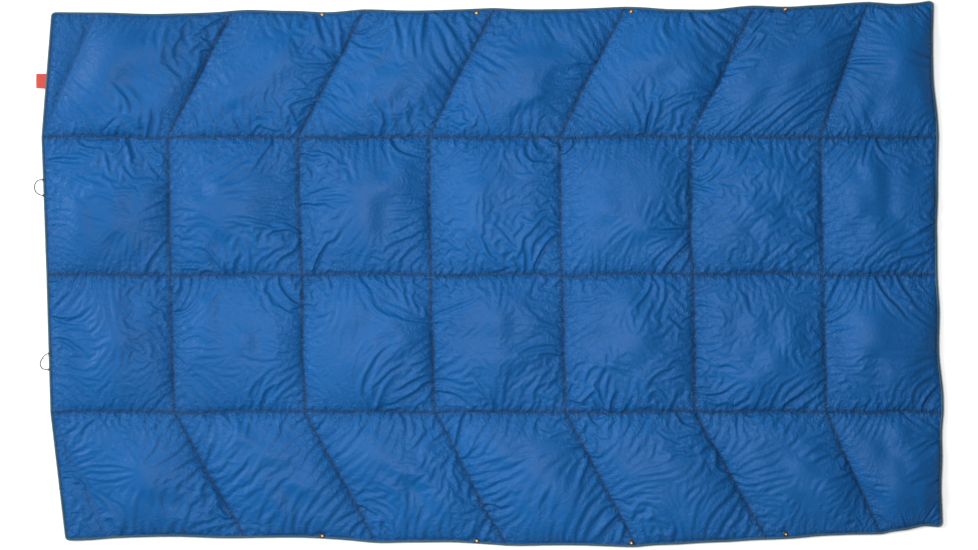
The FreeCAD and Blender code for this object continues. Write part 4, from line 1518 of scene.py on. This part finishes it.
@dataclass
class Seams:
    """The quilting stitches along every row line, cross seam and corner seam."""

    panels: Panels
    palette: Palette
    setback: float = 9.0
    on_cloth: tuple[float, float] = (6.85, 5.15)
    corner_cut: tuple[int, int] = (8, 6)

    def line(self, start: tuple[float, float], end: tuple[float, float], count: int = 160) -> np.ndarray:
        """A seam from one row and column number to another, cut back at both ends by half of setback.

        Args:
            start: where it starts.
            end: where it ends.
            count: points along it before it is cut back.

        Returns:
            N by 3.
        """
        share = np.linspace(0, 1, count)[:, None]
        path = self.panels.read(Layer.FACE, np.array(start) * (1 - share) + np.array(end) * share)
        run = np.r_[0, np.cumsum(np.linalg.norm(np.diff(path, axis=0), axis=1))]
        return path[(run > self.setback / 2) & (run < run[-1] - self.setback / 2)]

    def build(self) -> None:
        """Makes one piece of stitches for each CAD thread node."""
        rows = ((1, "row_seam_thread_near", Half.NEAR.body), (3, "row_seam_thread_far", Half.FAR.body),
                (2, "fold_seam_thread", FOLD))
        for row, node, body in rows:
            stitch_piece(f"{node}_stitches", [self.line((row, 0), (row, COLUMNS), 900)], self.on_cloth,
                         self.palette, body, node)
        for half in Half:
            rows = (0, 1) if half is Half.NEAR else (2, 3)
            paths = [self.line((row, column), (row + 1, column))
                     for row in rows for column in range(1, COLUMNS)]
            corner = self.panels.read(Layer.FACE, self.panels.plan.corner_seam(half, 160))
            paths.append(corner[self.corner_cut[0] : -self.corner_cut[1]])
            stitch_piece(f"cross_seam_stitches_{half.word}", paths, self.on_cloth, self.palette,
                         FOLD, f"cross_seam_thread_{half.word}")


@dataclass
class PressStuds:
    """Ring-spring press studs: studs on the far hem, sockets on the near hem, caps underneath."""

    plan: Plan
    palette: Palette
    cap_radius: float = 6.0
    cap_height: float = 1.2
    flange_radius: float = 5.2
    socket_radius: float = 5.6
    head_radius: float = 2.1
    bore: float = 2.3
    spring_radius: float = 2.6
    spring_height: float = 1.8
    spring_wire: float = 0.24
    brass_radius: float = 2.5

    def cap(self) -> np.ndarray:
        """The cap's section, from the middle of its underside up round its rim to the cloth."""
        return rounded([(0, -self.cap_height), (4.4, -self.cap_height + 0.05), (5.8, -self.cap_height * 0.55),
                        (self.cap_radius, -0.35), (self.cap_radius - 0.3, 0), (0, 0)], 0.5)

    def stud(self) -> np.ndarray:
        """The stud's section, from its rim up its beaded flange and waist to its head.

        Returns:
            Radius and height of each point.
        """
        return rounded([(0, 0), (self.flange_radius, 0), (self.flange_radius, 0.55), (4.6, 0.85), (3.9, 0.6),
                        (3.0, 0.62), (2.6, 0.9), (1.7, 1.1), (1.7, 1.7), (self.head_radius, 1.95),
                        (self.head_radius, 2.6), (1.5, 2.9), (0.8, 2.72), (0, 2.7)], 0.25)

    def socket(self) -> np.ndarray:
        """The socket's section, from its rim over its rolled lip and down into its bore.

        Returns:
            Radius and height of each point.
        """
        return rounded([(0, 0), (self.socket_radius, 0), (self.socket_radius, 1.0), (4.9, 1.5), (4.6, 2.3),
                        (4.0, 2.8), (3.1, 2.8), (self.bore, 2.5), (self.bore, 2.1), (2.9, 2.05), (2.9, 1.55),
                        (self.bore, 1.5), (self.bore, 0.95), (0, 0.9)], 0.25)

    def group(self, half: Half, profile: np.ndarray, height: float) -> tuple[np.ndarray, np.ndarray]:
        """The same turned piece at every press stud of a half."""
        places = self.plan.snap_centres(half)
        return joined([lathe(profile, np.array([x, y, height])) for x, y in places])

    def build(self) -> None:
        """Makes the caps, studs, sockets and spring rings."""
        seam, fabric = self.plan.seam_height, self.plan.fabric
        top, under = seam + fabric, seam - fabric
        pieces = [("snap_caps_near", Half.NEAR, self.cap(), under, "snap_metal"),
                  ("snap_caps_far", Half.FAR, self.cap(), under, "snap_metal"),
                  ("snap_studs_far", Half.FAR, self.stud(), top, "snap_metal"),
                  ("snap_sockets_near", Half.NEAR, self.socket(), top, "snap_metal")]
        for name, half, profile, height, slot in pieces:
            points, faces = self.group(half, profile, height)
            reach = points[:, None, :2] - self.plan.snap_centres(half)
            near = np.min(np.hypot(*reach.transpose(2, 0, 1)), axis=1)
            brass = (near < self.brass_radius) & (points[:, 2] > seam)
            thing = make_object(f"{name}_turned", points, faces, values={"brass": brass.astype(float)})
            merge_doubles(thing, 2e-5)
            self.palette.dress(thing, slot, half.body, name)
        turn = np.linspace(0, 2 * np.pi, 12, endpoint=False)
        ring = np.stack([self.spring_radius + self.spring_wire * np.cos(turn),
                         self.spring_height + self.spring_wire * np.sin(turn)], axis=1)
        springs = []
        for x, y in self.plan.snap_centres(Half.NEAR):
            points, _ = lathe(ring, np.array([x, y, top]), 36)
            springs.append((points, grid_faces(36, 12, wrap_rows=True, wrap_columns=True)))
        thing = make_object("snap_spring_rings", *joined(springs))
        merge_doubles(thing, 1e-6)
        self.palette.dress(thing, "snap_spring", Half.NEAR.body, "snap_springs_near")


@dataclass
class ClothTab:
    """A ribbon folded double, sewn into the hem by its two ends."""

    palette: Palette
    ply: float = 0.5
    sewn_in: float = 4.2
    belly: float = 0.5
    rows: int = 40
    stitch_z: tuple[float, float] = (7.5, 4.5)

    def build(self) -> None:
        """Carries the folded section across the tab's width, with a slight belly along it."""
        low, high = (np.array(corner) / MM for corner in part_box("cloth_tab"))
        x0, x1, mid = high[0] + self.sewn_in, low[0], (low[2] + high[2]) / 2
        reach, r = x0 - x1, (high[2] - low[2]) / 2
        bend = np.linspace(np.pi / 2, 3 * np.pi / 2, 9)
        outside = np.concatenate([
            np.stack([np.linspace(0, -reach + r, 16), np.full(16, r)], axis=1),
            np.stack([-reach + r + r * np.cos(bend), r * np.sin(bend)], axis=1)[1:-1],
            np.stack([np.linspace(-reach + r, 0, 16), np.full(16, -r)], axis=1)])
        inside = outside[::-1].copy()
        inside[:, 1] *= (r - self.ply) / r
        inside[:, 0] = np.maximum(inside[:, 0], -reach + self.ply)
        section = np.concatenate([outside, inside])
        across = np.linspace(low[1], high[1], self.rows)
        share = np.linspace(-1, 1, self.rows)
        out = np.clip((-section[None, :, 0] - self.sewn_in) / (reach - self.sewn_in), 0, 1)
        belly = -self.belly * np.cos(share * np.pi / 2)[:, None] * np.sin(np.pi * out)
        x = x0 + section[None, :, 0] * (1 - 0.012 * share[:, None] ** 2)
        y = np.broadcast_to(across[:, None], x.shape)
        z = mid + section[None, :, 1] - belly
        points = np.stack([x, y, z], axis=-1).reshape(-1, 3)
        run = np.cumsum(np.r_[0, np.linalg.norm(np.diff(section, axis=0), axis=1)])
        uv = np.stack(np.broadcast_arrays(across[:, None], run[None, :]), axis=-1).reshape(-1, 2) * MM
        faces = grid_faces(self.rows, len(section), wrap_columns=True)
        ends = [self.end_faces(len(section), (self.rows - 1) * len(section) * k, bool(k)) for k in (0, 1)]
        tab = make_object("cloth_tab_ribbon", points, np.concatenate([faces, *ends]), uv)
        merge_doubles(tab, 1e-7)
        self.palette.dress(tab, "tab_cloth", TAB_FOOT, "cloth_tab")
        low, high = (np.array(corner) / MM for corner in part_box("tab_stitches"))
        middle = (low[0] + high[0]) / 2
        line = np.array([[middle, low[1], 0], [middle, high[1], 0]])
        stitch_piece("tab_stitch_row", [line], self.stitch_z, self.palette, Half.FAR.body, "tab_stitches")

    @staticmethod
    def end_faces(count: int, start: int, flip: bool) -> np.ndarray:
        """Quads between the outer and inner halves of the section, at one end of the tab.

        Args:
            count: points in the section.
            start: number of the section's first point there.
            flip: whether to turn the quads over.

        Returns:
            An array of four corner numbers for each quad.
        """
        i = np.arange(count // 2 - 1)
        quads = np.stack([i, i + 1, count - 2 - i, count - 1 - i], axis=1) + start
        return quads[:, ::-1] if flip else quads


@dataclass
class CordLoops:
    """The two cord loops on the left hem and the bartacks over their ends."""

    palette: Palette
    diameter: float = 2.2
    strands: int = 8
    sides: int = 24
    ring_step: float = 0.35
    braid_pitch: float = 1.6
    overlap: float = 2.6
    tack_radius: float = 0.32

    def centre_line(self, name: str, route: list[tuple[float, float, float]]) -> np.ndarray:
        """The smooth line whose control points are the route.

        Args:
            name: a name for the curve while it is in use.
            route: control points, in metres.

        Returns:
            N by 3, in metres.
        """
        curve = bpy.data.curves.new(name, "CURVE")
        curve.dimensions = "3D"
        curve.resolution_u = 16
        spline = curve.splines.new("NURBS")
        spline.points.add(len(route) - 1)
        for point, place in zip(spline.points, route):
            point.co = (*place, 1.0)
        spline.order_u = 3
        spline.use_endpoint_u = True
        holder = bpy.data.objects.new(name, curve)
        bpy.context.scene.collection.objects.link(holder)
        line = bpy.data.meshes.new_from_object(holder)
        points = np.zeros(len(line.vertices) * 3)
        line.vertices.foreach_get("co", points)
        bpy.data.objects.remove(holder)
        bpy.data.curves.remove(curve)
        bpy.data.meshes.remove(line)
        return points.reshape(-1, 3)

    def tube(self, path: np.ndarray) -> tuple[np.ndarray, np.ndarray, np.ndarray]:
        """A braided tube round a path: radius = r (0.95 + 0.05 cos(k angle + w s) cos(k angle - w s)).

        A last ring of no radius closes each end.

        Args:
            path: N by 3, in millimetres.

        Returns:
            Points, quads and the map.
        """
        run = np.r_[0, np.cumsum(np.linalg.norm(np.diff(path, axis=0), axis=1))]
        at = np.linspace(0, run[-1], int(run[-1] / self.ring_step))
        line = np.stack([np.interp(at, run, path[:, i]) for i in range(3)], axis=1)
        along = np.gradient(line, axis=0)
        pick = [0, *range(len(at)), -1]
        at, line, along = at[pick], line[pick], along[pick]
        along /= np.linalg.norm(along, axis=1, keepdims=True)
        side = np.cross(along, [0.0, 0.0, 1.0])
        side /= np.linalg.norm(side, axis=1, keepdims=True)
        up = np.cross(side, along)
        turn = np.linspace(0, 2 * np.pi, self.sides, endpoint=False)
        k, w = self.strands / 2, 2 * np.pi / self.braid_pitch
        braid = np.cos(k * turn + w * at[:, None]) * np.cos(k * turn - w * at[:, None])
        radius = self.diameter / 2 * (0.95 + 0.05 * braid)
        radius[[0, -1]] = 1e-4
        profile = np.stack([radius * np.cos(turn), radius * np.sin(turn)], axis=-1)
        points = sweep(line, profile, side, up)
        uv = np.stack(np.broadcast_arrays(at[:, None], turn[None, :] * self.diameter / 2), axis=-1)
        faces = grid_faces(len(line), self.sides, wrap_columns=True)
        return points.reshape(-1, 3), faces, uv.reshape(-1, 2) * MM

    def build(self) -> None:
        """Makes each loop from its route, and its bartacks."""
        routes = {
            Half.FAR: [(-1.0068, 0.2140, 0.0060), (-1.0151, 0.2143, 0.0038), (-1.0233, 0.2090, 0.0014),
                       (-1.0273, 0.1982, 0.0012), (-1.0245, 0.1866, 0.0012), (-1.0149, 0.1791, 0.0034),
                       (-1.0055, 0.1780, 0.0060)],
            Half.NEAR: [(-0.9940, -0.1780, 0.0060), (-1.0009, -0.1798, 0.0038), (-1.0084, -0.1881, 0.0016),
                        (-1.0144, -0.1989, 0.0012), (-1.0120, -0.2097, 0.0012), (-1.0024, -0.2147, 0.0036),
                        (-0.9930, -0.2140, 0.0060)],
        }
        for half, route in routes.items():
            path = self.centre_line(f"{half.word}_loop_line", route)
            points, faces, uv = self.tube(path / MM)
            loop = make_object(f"cord_loop_{half.word}_braid", points, faces, uv)
            merge_doubles(loop, 1e-6)
            self.palette.dress(loop, "cord", f"{half.word}_loop", f"cord_loop_{half.word}")
            self.bartacks(half)

    def bartacks(self, half: Half) -> None:
        """Dense satin stitches over the loop's ends: a row of small spindles side by side.

        Args:
            half: which half the loop is on.
        """
        low, high = (np.array(corner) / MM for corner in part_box(f"loop_bartacks_{half.word}"))
        parts, reach = [], high[0] - low[0] + self.overlap - 0.05
        for y in (low[1] + 2.5, high[1] - 2.5):
            for offset in np.linspace(-2.2, 2.2, 9):
                line = np.array([[low[0] - self.overlap, y + offset, 0], [high[0], y + offset, 0]])
                parts.append(stitches(line, (low[2] + high[2]) / 2, reach, self.tack_radius))
        points, faces = joined(parts)
        thing = make_object(f"loop_bartack_stitches_{half.word}", points, faces, points[:, :2] * MM)
        merge_doubles(thing, 1e-7)
        self.palette.dress(thing, "cord", half.body, f"loop_bartacks_{half.word}")


# ---------------------------------------------------------------- studio


@dataclass(frozen=True)
class Studio:
    """A pale floor, soft light from the left, and a camera straight above."""

    view_width: float = 2.206
    centre: tuple[float, float] = (-0.0011, -0.001)
    height: float = 7.0
    sensor: float = 36.0

    def build(self) -> None:
        """Makes the floor, the lights, the sky and the camera."""
        self.floor()
        self.area("key", (-5.4, 1.5, 3.0), 2.2, 400)
        self.area("top", (-0.1, 0.05, 2.2), 1.0, 50)
        world = bpy.data.worlds.new("pale_room")
        world.use_nodes = True
        world.node_tree.nodes["Background"].inputs[0].default_value = (0.95, 0.97, 1.0, 1.0)
        world.node_tree.nodes["Background"].inputs[1].default_value = 0.36
        bpy.context.scene.world = world
        bpy.context.scene.view_settings.view_transform = "Standard"
        camera = bpy.data.cameras.new("camera")
        camera.sensor_width = self.sensor
        camera.lens = self.sensor * self.height / self.view_width
        camera.clip_end = 60
        eye = bpy.data.objects.new("camera", camera)
        eye.location = (*self.centre, self.height)
        bpy.context.scene.collection.objects.link(eye)
        bpy.context.scene.camera = eye

    def floor(self) -> None:
        """A large plain plane just under the quilt."""
        span = np.linspace(-20000, 20000, 3)
        x, y = np.meshgrid(span, span)
        points = np.stack([x, y, np.full_like(x, -0.05)], axis=-1).reshape(-1, 3)
        plane = make_object("floor", points, grid_faces(3, 3))
        material = bpy.data.materials.new("pale_floor")
        material.use_nodes = True
        shader = material.node_tree.nodes["Principled BSDF"]
        shader.inputs["Base Color"].default_value = (0.93, 0.93, 0.93, 1.0)
        shader.inputs["Roughness"].default_value = 0.9
        plane.data.materials.append(material)

    def area(self, name: str, place: tuple[float, float, float], span: float, power: float) -> None:
        """A square soft light that points at the quilt's middle.

        Args:
            name: the light's name.
            place: where it stands, in metres.
            span: its side, in metres.
            power: in watts.
        """
        lamp = bpy.data.lights.new(name, "AREA")
        lamp.size, lamp.energy = span, power
        thing = bpy.data.objects.new(name, lamp)
        flat = math.hypot(place[0], place[1])
        thing.rotation_euler = (math.atan2(flat, place[2]), 0, math.atan2(place[1], place[0]) + math.pi / 2)
        thing.location = place
        bpy.context.scene.collection.objects.link(thing)


def main() -> None:
    """Loads the frame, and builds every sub-assembly in order."""
    logging.basicConfig(level=logging.INFO, format="%(name)s: %(message)s")
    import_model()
    plan = Plan()
    palette = Palette()
    Studio().build()
    CordLoops(palette).build()
    panels = Panels(plan)
    panels.drape()
    Shell(panels, palette).build()
    Filling(panels, palette).build()
    Hem(panels, palette).build()
    Seams(panels, palette).build()
    PressStuds(plan, palette).build()
    ClothTab(palette).build()


if __name__ == "__main__":
    main()
